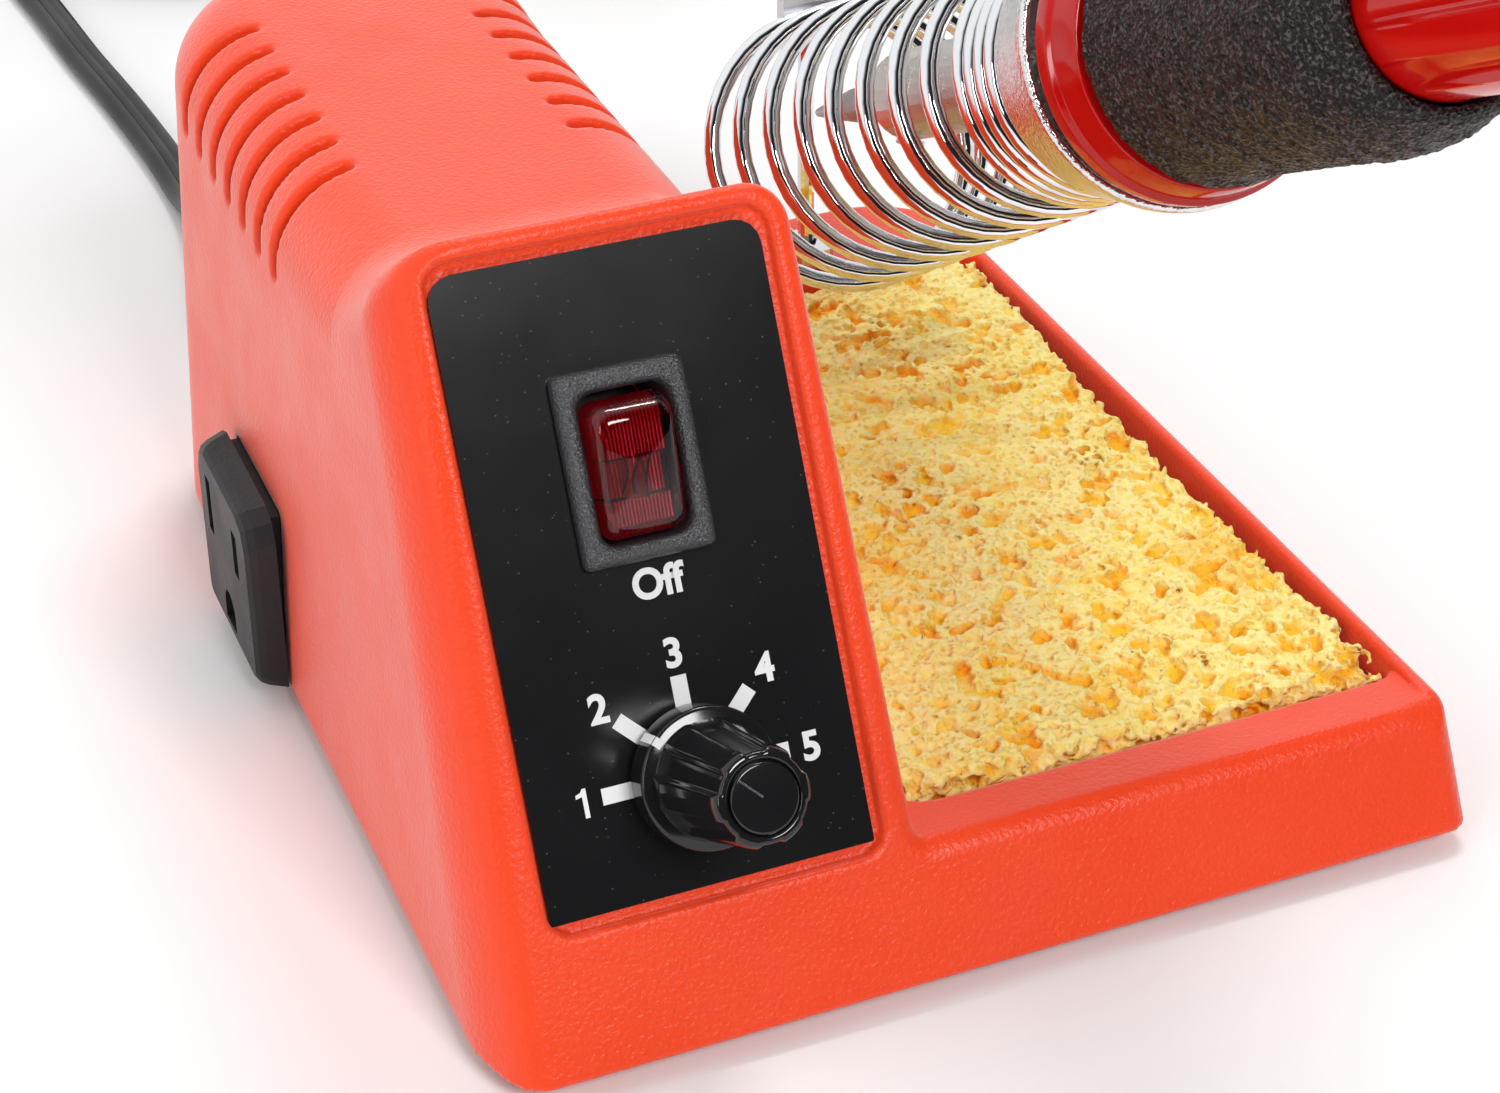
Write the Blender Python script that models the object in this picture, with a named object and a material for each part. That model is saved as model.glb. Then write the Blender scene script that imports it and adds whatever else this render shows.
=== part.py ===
"""Soldering iron station: housing with a front control panel, sponge tray, spring holder and iron.

Lengths are in millimetres in a design frame: X = 0 at the middle of the housing, Y = 0 at its front bottom
edge with +Y to the back, Z = 0 at its bottom edge. Each mesh is moved by ORIGIN and scaled to metres.
"""

import math

import bmesh
import bpy
from mathutils import Matrix, Vector

MM = 0.001
ORIGIN = Vector((-2.0, 38.05, -2.5))
GAP = 0.3

# Housing
HALF_WIDTH = 60.3
REAR_Y = 151.5
BASE_REAR_Y = 152.3
WALL = 2.5
FRONT_TILT = math.radians(28.0)
TOWER_RIGHT = -8.4
TOWER_TOP = 70.3
RIM_BACK_Y = 65.0
RIM_FILLET = 29.2
FRONT_CORNER = 19.5
FRONT_CORNER_Y = 11.7
REAR_CORNER = 23.0
REAR_TOP_ROUND = 8.0
BASE_TOP = 13.7
BASE_CORNER = 15.0
WELL = ((-6.0, 15.5, 4.0), (58.0, 131.0, 30.0))
VENT_COUNT = 7
VENT_PITCH = 7.05
VENT_FIRST_Y = 83.0
VENT_WIDTH = 2.1
VENT_LOW_Z = 57.3
INNER_FRONT = 4.4

# Front panel, in panel coordinates (u right, v up the slope, h out of the face)
RECESS = (-51.4, 15.8, -12.4, 88.3)
RECESS_DEPTH = 1.3
LABEL = (-51.05, 17.2, -13.5, 86.9)
LABEL_TOP = -0.6
SWITCH_AT = (-32.7, 63.65)
POT_AT = (-32.03, 29.37)
ROCKER_PIVOT_H = -1.0

# Cover, screws and feet
COVER_LOW, COVER_HIGH = -0.2, 1.6
SCREWS = ((-55.0, 30.0), (-55.0, 118.0), (-13.0, 30.0), (-13.0, 118.0))
FEET = ((-48.0, 18.0), (48.0, 18.0), (-44.0, 132.0), (44.0, 132.0))
FOOT_LOW = -2.5

# Receptacle on the left wall
OUTLET_Y, OUTLET_Z = 94.5, 17.4
OUTLET_FACE_X = -64.3
BLADE_SPACING = 12.7
GROUND_DROP = 11.9

# Spring holder
HOLDER_TILT = math.radians(30.7)
HOLDER_AT = Vector((32.9, 122.9, 38.7))
WIRE = 2.4
SPRING_REAR_R = 20.2
SPRING_TAPER = 0.055
WIDE_TURNS = 8
CLOSE_TURNS = 3.5
CLOSE_PITCH = 2.65
FUNNEL_SHIFT = 0.6
POST_AT = (34.0, 138.0)
POST_TOP = 62.0

# Iron
IRON_TILT = math.radians(27.5)
IRON_AT = Vector((33.5, 30.9, 92.95))
FLUTE_START = 56.0
BARREL_END = -80.0
SCREW_AT = -76.5

# Mains cord
CORD_THICK = 3.2
CORD_WIDTH = 6.4
TABLE_Z = FOOT_LOW
CORD_Z = TABLE_Z + CORD_THICK / 2 + 0.1
GLAND_X, GLAND_Z = -38.0, 17.0
GLAND_END_Y = 176.0
COIL_CENTRE = (-1.0, 351.0)
COIL_MID_R = 37.5
COIL_HALF_WIDTH = 11.0
COIL_HIGH = 2 * CORD_THICK + 0.4
PLUG_X, PLUG_REAR_Y = 65.0, 345.0

PANEL = Matrix.Rotation(math.radians(90) - FRONT_TILT, 4, "X")


# ---------------------------------------------------------------- helpers

def clear_scene():
    for obj in list(bpy.data.objects):
        bpy.data.objects.remove(obj, do_unlink=True)


MATERIALS = {
    "housing_plastic": ((0.90, 0.062, 0.018), 0.45, 0.0),
    "label_film": ((0.012, 0.012, 0.013), 0.3, 0.0),
    "black_plastic": ((0.03, 0.03, 0.033), 0.5, 0.0),
    "knob_plastic": ((0.012, 0.012, 0.012), 0.15, 0.0),
    "lens_red": ((0.35, 0.005, 0.012), 0.08, 0.0),
    "lamp_glass": ((0.9, 0.55, 0.4), 0.05, 0.0),
    "plated_metal": ((0.75, 0.75, 0.76), 0.3, 1.0),
    "brass_contact": ((0.80, 0.60, 0.28), 0.3, 1.0),
    "board_green": ((0.03, 0.16, 0.07), 0.5, 0.0),
    "part_ceramic": ((0.72, 0.68, 0.58), 0.6, 0.0),
    "chrome": ((0.85, 0.85, 0.86), 0.08, 1.0),
    "barrel_steel": ((0.62, 0.61, 0.59), 0.32, 1.0),
    "tip_metal": ((0.42, 0.42, 0.43), 0.4, 1.0),
    "handle_red": ((0.55, 0.005, 0.004), 0.12, 0.0),
    "grip_foam": ((0.02, 0.018, 0.018), 0.95, 0.0),
    "sponge_cellulose": ((0.92, 0.58, 0.13), 0.95, 0.0),
    "cord_pvc": ((0.012, 0.012, 0.013), 0.4, 0.0),
    "foot_rubber": ((0.02, 0.02, 0.02), 0.9, 0.0),
}


def material(slot):
    found = bpy.data.materials.get(slot)
    if found:
        return found
    colour, roughness, metallic = MATERIALS[slot]
    made = bpy.data.materials.new(slot)
    made.use_nodes = True
    shader = made.node_tree.nodes["Principled BSDF"]
    shader.inputs["Base Color"].default_value = (*colour, 1)
    shader.inputs["Roughness"].default_value = roughness
    shader.inputs["Metallic"].default_value = metallic
    return made


def to_world(point):
    """Design-frame millimetres to world metres."""
    return (Vector(point) - ORIGIN) * MM


def solid(name, bm, slot, matrix=None, pivot=None, sharp=40):
    """Makes an object of a closed bmesh, which it frees. The object's origin goes to pivot."""
    if matrix:
        bm.transform(matrix)
    bmesh.ops.recalc_face_normals(bm, faces=bm.faces)
    at = to_world(pivot) if pivot is not None else Vector((0, 0, 0))
    for vert in bm.verts:
        vert.co = to_world(vert.co) - at
    mesh = bpy.data.meshes.new(name)
    bm.to_mesh(mesh)
    bm.free()
    mesh.shade_smooth()
    mesh.set_sharp_from_angle(angle=math.radians(sharp))
    obj = bpy.data.objects.new(name, mesh)
    obj.location = at
    bpy.context.scene.collection.objects.link(obj)
    if slot:
        mesh.materials.append(material(slot))
    return obj


def combine(obj, name, bm, matrix=None, operation="DIFFERENCE"):
    """Cuts a closed bmesh from an object, or joins it on."""
    tool = solid(name, bm, None, matrix)
    tool.hide_render = True
    tool.display_type = "WIRE"
    modifier = obj.modifiers.new(name, "BOOLEAN")
    modifier.operation = operation
    modifier.solver = "EXACT"
    modifier.object = tool


def loft(rings, bm=None):
    """A closed solid through rings of equal point counts, with flat ends."""
    bm = bm or bmesh.new()
    rows = [[bm.verts.new(point) for point in ring] for ring in rings]
    count = len(rows[0])
    for low, high in zip(rows, rows[1:]):
        for i in range(count):
            j = (i + 1) % count
            bm.faces.new((low[i], low[j], high[j], high[i]))
    bm.faces.new(rows[0][::-1])
    bm.faces.new(rows[-1])
    return bm


def block(low, high, bm=None):
    corners = ((low[0], low[1]), (high[0], low[1]), (high[0], high[1]), (low[0], high[1]))
    return loft([[(x, y, z) for x, y in corners] for z in (low[2], high[2])], bm)


def arc(centre, radius, start, end, steps):
    """Points on an arc in the XY plane, angles in degrees."""
    turns = [math.radians(start + (end - start) * i / steps) for i in range(steps + 1)]
    return [(centre[0] + radius * math.cos(a), centre[1] + radius * math.sin(a)) for a in turns]


def rounded(x0, y0, x1, y1, radii, steps=4):
    """A rectangle's outline with a radius at each corner, from the low corner anticlockwise."""
    corners = ((x0, y0, 1, 1, 180), (x1, y0, -1, 1, 270), (x1, y1, -1, -1, 0), (x0, y1, 1, -1, 90))
    points = []
    for (x, y, side_x, side_y, start), radius in zip(corners, radii):
        centre = (x + side_x * radius, y + side_y * radius)
        points += arc(centre, radius, start, start + 90, steps)
    return points


def prism(outline, low, high):
    return loft([[(x, y, z) for x, y in outline] for z in (low, high)])


def side_prism(outline, x0, x1):
    """A prism along X of an outline given as (y, z)."""
    return loft([[(x, y, z) for y, z in outline] for x in (x0, x1)])


def turned(profile, segments=32):
    """A solid turned about Z from (radius, height) points. A ring closes on itself."""
    bm = bmesh.new()
    rows = []
    for radius, height in profile:
        if radius == 0:
            rows.append([bm.verts.new((0, 0, height))])
            continue
        turns = [2 * math.pi * i / segments for i in range(segments)]
        rows.append([bm.verts.new((radius * math.cos(a), radius * math.sin(a), height)) for a in turns])
    pairs = list(zip(rows, rows[1:]))
    if profile[0][0]:
        pairs.append((rows[-1], rows[0]))
    for one, two in pairs:
        for i in range(segments):
            j = (i + 1) % segments
            face = [one[i % len(one)], one[j % len(one)], two[j % len(two)], two[i % len(two)]]
            bm.faces.new(list(dict.fromkeys(face)))
    return bm


def rod(radius, low, high, segments=16):
    return turned([(0, low), (radius, low), (radius, high), (0, high)], segments)


def along(origin, direction):
    """The matrix that puts local Z along a direction, local X staying level."""
    z = Vector(direction).normalized()
    x = Vector((1, 0, 0)) if abs(z.x) < 0.9 else Vector((0, 1, 0))
    y = z.cross(x).normalized()
    x = y.cross(z)
    return Matrix.Translation(origin) @ Matrix((x, y, z)).transposed().to_4x4()


def sweep(points, radius, sides=6):
    """A round wire along points, with flat ends."""
    rings = []
    points = [Vector(p) for p in points]
    normal = None
    for i, point in enumerate(points):
        tangent = (points[min(i + 1, len(points) - 1)] - points[max(i - 1, 0)]).normalized()
        if normal is None:
            normal = tangent.orthogonal()
        normal = (normal - tangent * normal.dot(tangent)).normalized()
        across = tangent.cross(normal)
        turns = [2 * math.pi * k / sides for k in range(sides)]
        rings.append([point + radius * (math.cos(a) * normal + math.sin(a) * across) for a in turns])
    return loft(rings)


def smooth_route(route, step):
    """Points a step apart on a smooth curve through the route's points."""
    points = [Vector(p) for p in route]
    points = [2 * points[0] - points[1]] + points + [2 * points[-1] - points[-2]]
    fine = []
    for a, b, c, d in zip(points, points[1:], points[2:], points[3:]):
        for i in range(20):
            t = i / 20
            fine.append(
                0.5 * (2 * b + (c - a) * t + (2 * a - 5 * b + 4 * c - d) * t * t
                       + (3 * b - a - 3 * c + d) * t ** 3)
            )
    fine.append(points[-2])
    spaced, left = [fine[0]], step
    for one, two in zip(fine, fine[1:]):
        length = (two - one).length
        while left <= length:
            spaced.append(one.lerp(two, left / length))
            left += step
        left -= length
    if (spaced[-1] - fine[-1]).length < step / 2:
        spaced.pop()
    return spaced + [fine[-1]]


def tube(name, route, radius, slot):
    """A curve object along a route, bevelled round, with its ends filled."""
    data = bpy.data.curves.new(name, "CURVE")
    data.dimensions = "3D"
    data.bevel_depth = radius * MM
    data.bevel_resolution = 2
    data.use_fill_caps = True
    points = smooth_route(route, 2.5 * CORD_THICK)
    spline = data.splines.new("POLY")
    spline.points.add(len(points) - 1)
    for place, point in zip(spline.points, points):
        place.co = (*to_world(point), 1)
    data.materials.append(material(slot))
    obj = bpy.data.objects.new(name, data)
    bpy.context.scene.collection.objects.link(obj)
    return obj


# ---------------------------------------------------------------- housing

def top_height(y):
    """Height of the tower's top: flat, rising in a hollow curve to the rim and rounded at the back."""
    if y < RIM_BACK_Y:
        reach = min(RIM_BACK_Y - y, 0.95 * RIM_FILLET)
        return TOWER_TOP + RIM_FILLET - math.sqrt(RIM_FILLET ** 2 - reach ** 2)
    reach = min(max(y - (REAR_Y - REAR_TOP_ROUND - 1), 0), REAR_TOP_ROUND)
    return TOWER_TOP - REAR_TOP_ROUND + math.sqrt(REAR_TOP_ROUND ** 2 - reach ** 2)


def left_inset(y0):
    """How far the left wall comes in at a station, from the arcs of its front and rear corners."""
    if y0 < FRONT_CORNER_Y:
        reach = min(FRONT_CORNER_Y - y0, 0.9 * FRONT_CORNER)
        return FRONT_CORNER - math.sqrt(FRONT_CORNER ** 2 - reach ** 2)
    reach = min(max(y0 - (REAR_Y - REAR_CORNER), 0), REAR_CORNER)
    return REAR_CORNER - math.sqrt(REAR_CORNER ** 2 - reach ** 2)


def tower_ring(y0, inset, front_y0, rear_y0):
    """The tower's outline on a plane that leans as the front does at the front and stands at the back."""
    back = min(max(y0 / REAR_Y, 0), 1)
    lean = math.tan(FRONT_TILT) * (1 - back) - 0.017 * back
    place = min(max(y0, front_y0), rear_y0)
    height = TOWER_TOP
    for _ in range(12):
        height = top_height(place + height * lean)
    height -= inset
    corner = 5 + 6 * min(max(y0 - 4, 0) / 30, 1) - 0.8 * inset
    left = left_inset(place)
    bottom = -6

    def wall_left(z):
        return -HALF_WIDTH + 0.05 * z + left + inset

    def wall_right(z):
        return TOWER_RIGHT - 0.015 * z - inset

    low = height - corner
    outline = [(wall_left(bottom), bottom), (wall_left(0.5 * low), 0.5 * low)]
    outline += arc((wall_left(low) + corner, low), corner, 180, 90, 6)
    outline += arc((wall_right(low) - corner, low), corner, 90, 0, 6)
    outline += [(wall_right(0.5 * low), 0.5 * low), (wall_right(bottom), bottom)]
    return [(x, y0 + z * lean, z) for x, z in outline]


def tower(inset, front_y0, rear_y0):
    """The tower as a loft of stations, denser along its rounded corners."""
    front = [FRONT_CORNER_Y - FRONT_CORNER * math.sin(math.radians(a)) for a in (36.8, 28, 19, 10, 0)]
    middle = [16, 21, 26, 31, 37, 80]
    rear = [REAR_Y - REAR_CORNER * (1 - math.sin(math.radians(a))) for a in (0, 15, 30, 45, 58, 70, 80)]
    stations = [y for y in front + middle + rear if front_y0 + 1 < y < rear_y0 - 0.2]
    stations = [front_y0] + stations + [rear_y0]
    return loft([tower_ring(y, inset, 0, REAR_Y - 0.4) for y in stations])


def base_outline(inset, front_y):
    right = HALF_WIDTH - inset
    rear = BASE_REAR_Y - inset
    corner = BASE_CORNER - inset
    points = [(-30, front_y), (right, front_y)]
    points += arc((right - corner, rear - corner), corner, 0, 90, 6)
    return points + [(-30, rear)]


def base():
    """The tray's block, its top edge rounded over."""
    steps = ((-6, 0), (BASE_TOP - 2, 0), (BASE_TOP - 1.1, 0.25), (BASE_TOP - 0.4, 0.9), (BASE_TOP, 2.0))
    return loft([[(x, y, z) for x, y in base_outline(inset, -12)] for z, inset in steps])


def vents():
    """Cutters for the slots that wrap over the tower's two long top edges."""
    bm = bmesh.new()
    for x0, x1 in ((-70, -46.7), (-20.5, -2)):
        for k in range(VENT_COUNT):
            y = VENT_FIRST_Y + k * VENT_PITCH
            block((x0, y - VENT_WIDTH / 2, VENT_LOW_Z), (x1, y + VENT_WIDTH / 2, 90), bm)
    return bm


def housing():
    obj = solid("housing", tower(0, -6, REAR_Y), "housing_plastic")
    combine(obj, "add_base", base(), operation="UNION")
    slope = math.tan(FRONT_TILT)
    front = [(-20, -20), (-20 * slope, -20), (100 * slope, 100), (-20, 100)]
    combine(obj, "cut_front", side_prism(front, -80, 80))
    combine(obj, "cut_tower", tower(WALL, INNER_FRONT, REAR_Y - WALL))
    under = [(max(x, -12), max(y, 8)) for x, y in base_outline(WALL, 8)]
    combine(obj, "cut_under", prism(under, -8, 2.0))
    lip = [(3.6 - 8 * slope, -8), (12.5, -8), (12.5, 10.6), (3.6 + 10.6 * slope, 10.6)]
    combine(obj, "cut_lip", side_prism(lip, -12, 57.5))
    combine(obj, "cut_ledge", prism(rounded(-6, 133.5, 56, 149.6, (1, 1, 12, 1)), -8, 11.0))
    well_low, well_high = WELL
    well = rounded(well_low[0], well_low[1], well_high[0], well_high[1], (2, 3, 3, 2))
    combine(obj, "cut_well", prism(well, well_low[2], well_high[2]))
    slope_in = [(7.2, 13.75), (17, 12.4), (17, 20), (7.2, 20)]
    combine(obj, "cut_lip_slope", side_prism(slope_in, -8.2, 58.0))
    recess = rounded(*RECESS, (0.6, 0.6, 3.2, 3.2))
    combine(obj, "cut_recess", prism(recess, -RECESS_DEPTH, 9), PANEL)
    combine(obj, "cut_vents", vents())
    u, v = SWITCH_AT
    combine(obj, "cut_switch", block((u - 6.4, v - 9.4, -9), (u + 6.4, v + 9.4, 9)), PANEL)
    combine(obj, "cut_pot", rod(3.9, -9, 9), PANEL @ Matrix.Translation((*POT_AT, 0)))
    outlet = block((-70, 84.2, 1.65), (-50, 104.8, 24.3))
    combine(obj, "cut_outlet", outlet)
    combine(obj, "cut_gland", rod(5.1, 140, 160), along((GLAND_X, 0, GLAND_Z), (0, 1, 0)))
    combine(obj, "cut_post", rod(1.6, 5, 20), Matrix.Translation((*POST_AT, 0)))
    for i, (x, y) in enumerate(SCREWS, 1):
        place = Matrix.Translation((x, y, 0))
        combine(obj, f"add_boss_{i}", rod(4.0, 2.2, 16, 20), place, "UNION")
    for i, (x, y) in enumerate(SCREWS, 1):
        combine(obj, f"cut_boss_{i}", rod(1.6, -4, 13, 12), Matrix.Translation((x, y, 0)))
    combine(obj, "cut_bottom", block((-90, -40, -30), (90, 190, 0)))


def cover_and_feet():
    outline = rounded(-57.4, 5.9, 57.4, 148.6, (6, 1, 21, 21))
    cover = solid("bottom_cover", prism(outline, COVER_LOW, COVER_HIGH), "black_plastic")
    for i, (x, y) in enumerate(SCREWS, 1):
        place = Matrix.Translation((x, y, 0))
        combine(cover, f"cut_cover_{i}", rod(1.7, -4, 4, 12), place)
        low = COVER_LOW - GAP
        head = [(0, low - 1.4), (2.2, low - 1.4), (3.0, low - 0.7), (3.0, low), (1.25, low), (1.25, 11),
                (0, 12)]
        solid(f"cover_screw_{i}", turned(head, 16), "plated_metal", place)
    for i, (x, y) in enumerate(FEET, 1):
        top = COVER_LOW - GAP
        foot = [(0, FOOT_LOW), (5.4, FOOT_LOW), (6.0, FOOT_LOW + 0.6), (6.0, top), (0, top)]
        solid(f"foot_{i}", turned(foot, 20), "foot_rubber", Matrix.Translation((x, y, 0)))


# ---------------------------------------------------------------- front panel

def label():
    outline = rounded(*LABEL, (0.3, 0.3, 3.0, 3.0))
    obj = solid("front_label", prism(outline, -RECESS_DEPTH + GAP, LABEL_TOP), "label_film", PANEL)
    u, v = SWITCH_AT
    combine(obj, "cut_label_switch", block((u - 6.4, v - 9.4, -5), (u + 6.4, v + 9.4, 5)), PANEL)
    combine(obj, "cut_label_pot", rod(3.9, -5, 5), PANEL @ Matrix.Translation((*POT_AT, 0)))


def switch():
    place = PANEL @ Matrix.Translation((*SWITCH_AT, 0))
    back = LABEL_TOP + GAP
    steps = ((back, 0), (back + 1.0, 0), (back + 1.9, 0.9))
    bezel = loft([[(x, y, h) for x, y in rounded(-7.5 + e, -10.5 + e, 7.5 - e, 10.5 - e, (0.8,) * 4, 2)]
                  for h, e in steps])
    obj = solid("switch_body", bezel, "black_plastic", place)
    combine(obj, "add_switch_case", block((-6.1, -9.1, -17), (6.1, 9.1, back + 0.5)), place, "UNION")
    opening = rounded(-5.2, -8.35, 5.2, 8.15, (1.0,) * 4)
    combine(obj, "cut_switch_opening", prism(opening, -11, 9), place)
    for i, v in enumerate((-6.0, 0.0, 6.0), 1):
        tab = block((-2.4, v - 0.4, -25), (2.4, v + 0.4, -17 - GAP))
        solid(f"switch_terminal_{i}", tab, "brass_contact", place)
    rocker(place)


def rocker(place):
    """The rocker rests with its lower end pressed in, and turns about a pin across the opening."""
    pivot = place @ Vector((0, -0.1, ROCKER_PIVOT_H))
    side = [(-7.7, 1.2), (-7.5, -2.0), (-5.0, -6.0), (5.0, -6.0), (7.2, -2.0), (7.3, 1.4), (6.4, 3.3),
            (4.3, 4.9), (3.4, 4.9), (-6.6, 2.4)]
    steps = ((-4.8, 1), (-4.1, 0), (4.1, 0), (4.8, 1))
    shape = loft([[(x, v * (1 - 0.04 * e), h - 0.5 * e * (h > 1)) for v, h in side] for x, e in steps])
    move = place @ Matrix.Translation((0, -0.1, ROCKER_PIVOT_H))
    obj = solid("rocker", shape, "lens_red", move, pivot)
    combine(obj, "cut_rocker", block((-3.5, -6.0, -9), (3.5, 5.6, 0.9)), move)
    lamp = [(0, -4.2), (1.1, -3.9), (1.6, -3.0), (1.6, 3.4), (0, 4.2)]
    lay = move @ Matrix.Translation((0, 0, -1.4)) @ Matrix.Rotation(math.radians(-90), 4, "X")
    solid("neon_lamp", turned(lamp, 12), "lamp_glass", lay, pivot)


def potentiometer():
    place = PANEL @ Matrix.Translation((*POT_AT, 0))
    back = -INNER_FRONT * math.cos(FRONT_TILT) - GAP
    body = [(0, back - 8), (8, back - 8), (8, back), (3.5, back), (3.5, 2.0), (2.3, 2.0), (2.3, -3.0),
            (0, -3.0)]
    solid("pot_body", turned(body, 24), "plated_metal", place)
    low = LABEL_TOP + GAP
    solid("pot_nut", turned([(4.4, low), (6.0, low), (6.0, 1.7), (4.4, 1.7)], 6), "plated_metal", place)
    shaft = [(0, -2.7), (2.0, -2.7), (2.0, 2.0 + GAP), (2.9, 2.0 + GAP), (2.9, 14.6), (0, 15.0)]
    pivot = place @ Vector((0, 0, 0))
    solid("pot_shaft", turned(shaft, 16), "plated_metal", place, pivot)
    return place, pivot


def knob(place, pivot):
    """A fluted pointer knob: a drum skirt, six lobes and an inset end."""
    segments = 48
    levels = ((0.5, 7.5, 0), (0.8, 7.8, 0), (4.2, 7.8, 0), (4.5, 7.5, 0), (4.55, 6.3, 0), (5.6, 6.1, 0.5),
              (19.8, 4.95, 0.45), (21.0, 4.6, 0.1))
    rings = []
    for height, radius, lobe in levels:
        ring = []
        for i in range(segments):
            a = 2 * math.pi * i / segments
            r = radius + (lobe if math.cos(6 * a) > -0.1 else 0)
            ring.append((r * math.cos(a), r * math.sin(a), height))
        rings.append(ring)
    obj = solid("knob", loft(rings), "knob_plastic", place, pivot)
    hollow = [(0, -4), (6.9, -4), (6.9, 3.2), (3.2, 3.2), (3.2, 15.4), (0, 15.4)]
    combine(obj, "cut_knob_bore", turned(hollow, 24), place)
    combine(obj, "cut_knob_end", rod(3.9, 20.4, 24, 32), place)
    cap = [(0, 20.7), (3.6, 20.7), (3.6, 21.1), (3.4, 21.3), (0, 21.3)]
    solid("knob_cap", turned(cap, 32), "knob_plastic", place, pivot)


def electronics():
    """The phase-control board behind the knob, with its parts on the back."""
    solid("circuit_board", block((-49.5, 12.0, -15.0), (-14.5, 46.0, -13.4)), "board_green", PANEL)
    capacitor = prism(rounded(-46.5, 31.0, -36.5, 44.0, (1.5,) * 4), -23.0, -15.0 - GAP)
    solid("capacitor", capacitor, "part_ceramic", PANEL)
    solid("triac", block((-30.0, 29.0, -19.8), (-20.0, 44.0, -15.0 - GAP)), "black_plastic", PANEL)
    sink = solid("heat_sink", block((-32.0, 29.0, -29.0), (-18.0, 44.5, -20.1)), "plated_metal", PANEL)
    fins = bmesh.new()
    for k in range(4):
        block((-30.7 + 3.2 * k, 27, -31), (-29.0 + 3.2 * k, 47, -22.0), fins)
    combine(sink, "cut_fins", fins, PANEL)
    lay = PANEL @ Matrix.Translation((-40.5, 22.0, -18.2)) @ Matrix.Rotation(math.radians(90), 4, "Y")
    resistor = [(0, -8), (2.0, -8), (2.4, -7), (2.4, 7), (2.0, 8), (0, 8)]
    solid("power_resistor", turned(resistor, 14), "part_ceramic", lay)
    ring = [(3.4, 0), (7.0, 0), (7.0, 5.4), (3.4, 5.4)]
    solid("choke", turned(ring, 24), "brass_contact", PANEL @ Matrix.Translation((-25.5, 21.5, -20.7)))


# ---------------------------------------------------------------- receptacle

def receptacle():
    z_low, z_high = 0.4, 25.8
    steps = ((OUTLET_FACE_X, 1.6), (OUTLET_FACE_X + 0.5, 1.0), (OUTLET_FACE_X + 1.4, 0.6), (-60.6, 0))
    rings = []
    for x, e in steps:
        outline = rounded(81.2 + e, z_low + e, 107.0 - e, z_high - e, (1.2, 1.2, 3.5, 3.5), 2)
        rings.append([(x, y, z) for y, z in outline])
    obj = solid("receptacle_body", loft(rings), "black_plastic")
    combine(obj, "add_outlet_case", block((-61.5, 84.5, 1.95), (-45, 104.5, 24.0)), operation="UNION")
    ground_z = OUTLET_Z - GROUND_DROP
    for name, side, half in (("neutral", 1, 4.0), ("hot", -1, 3.2)):
        y = OUTLET_Y + side * BLADE_SPACING / 2
        slot = block((-70, y - 1.15, OUTLET_Z - half), (-40, y + 1.15, OUTLET_Z + half))
        combine(obj, f"cut_{name}_slot", slot)
        tab = block((-56, y - 0.6, OUTLET_Z - 2.6), (-39, y + 0.6, OUTLET_Z + 2.6))
        solid(f"contact_{name}", tab, "brass_contact")
    arch = arc((OUTLET_Y, ground_z), 2.5, 0, 180, 8)
    arch += [(OUTLET_Y - 2.5, ground_z - 2.5), (OUTLET_Y + 2.5, ground_z - 2.5)]
    combine(obj, "cut_ground_hole", side_prism(arch, -70, -40))
    pin = block((-52, OUTLET_Y - 1.5, ground_z - 1.4), (-39, OUTLET_Y + 1.5, ground_z + 1.4))
    solid("contact_ground", pin, "brass_contact")


# ---------------------------------------------------------------- tray and holder

def sponge():
    low, high = WELL
    lo = (low[0] + 0.5, low[1] + 2.0, low[2] + GAP)
    hi = (high[0] - 0.5, high[1] - 0.4, 13.5)
    steps = ((lo[2], 0.4), (lo[2] + 0.6, 0), (hi[2] - 1.0, 0), (hi[2], 0.9))
    rings = [[(x, y, z) for x, y in rounded(lo[0] + e, lo[1] + e, hi[0] - e, hi[1] - e, (2.5,) * 4)]
             for z, e in steps]
    solid("sponge", loft(rings), "sponge_cellulose", pivot=(26.0, hi[1], hi[2]))


def spring_points():
    """The holder's wire, in the holder's frame: wide turns towards the front that end in close ones."""
    per_turn = 22
    wide_end = 11 * WIDE_TURNS - 0.15 * WIDE_TURNS ** 2
    points = []
    for i in range(int(-0.75 * per_turn), int((WIDE_TURNS + CLOSE_TURNS) * per_turn) + 1):
        turn = i / per_turn
        if turn < 0:
            place = 2.8 * turn
        elif turn < WIDE_TURNS:
            place = 11 * turn - 0.15 * turn ** 2
        else:
            place = wide_end + CLOSE_PITCH * (turn - WIDE_TURNS)
        radius = SPRING_REAR_R - SPRING_TAPER * max(place, 0) - WIRE / 2
        a = math.pi + 2 * math.pi * turn
        points.append((radius * math.cos(a), radius * math.sin(a), place + 0.3))
    return points


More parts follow.
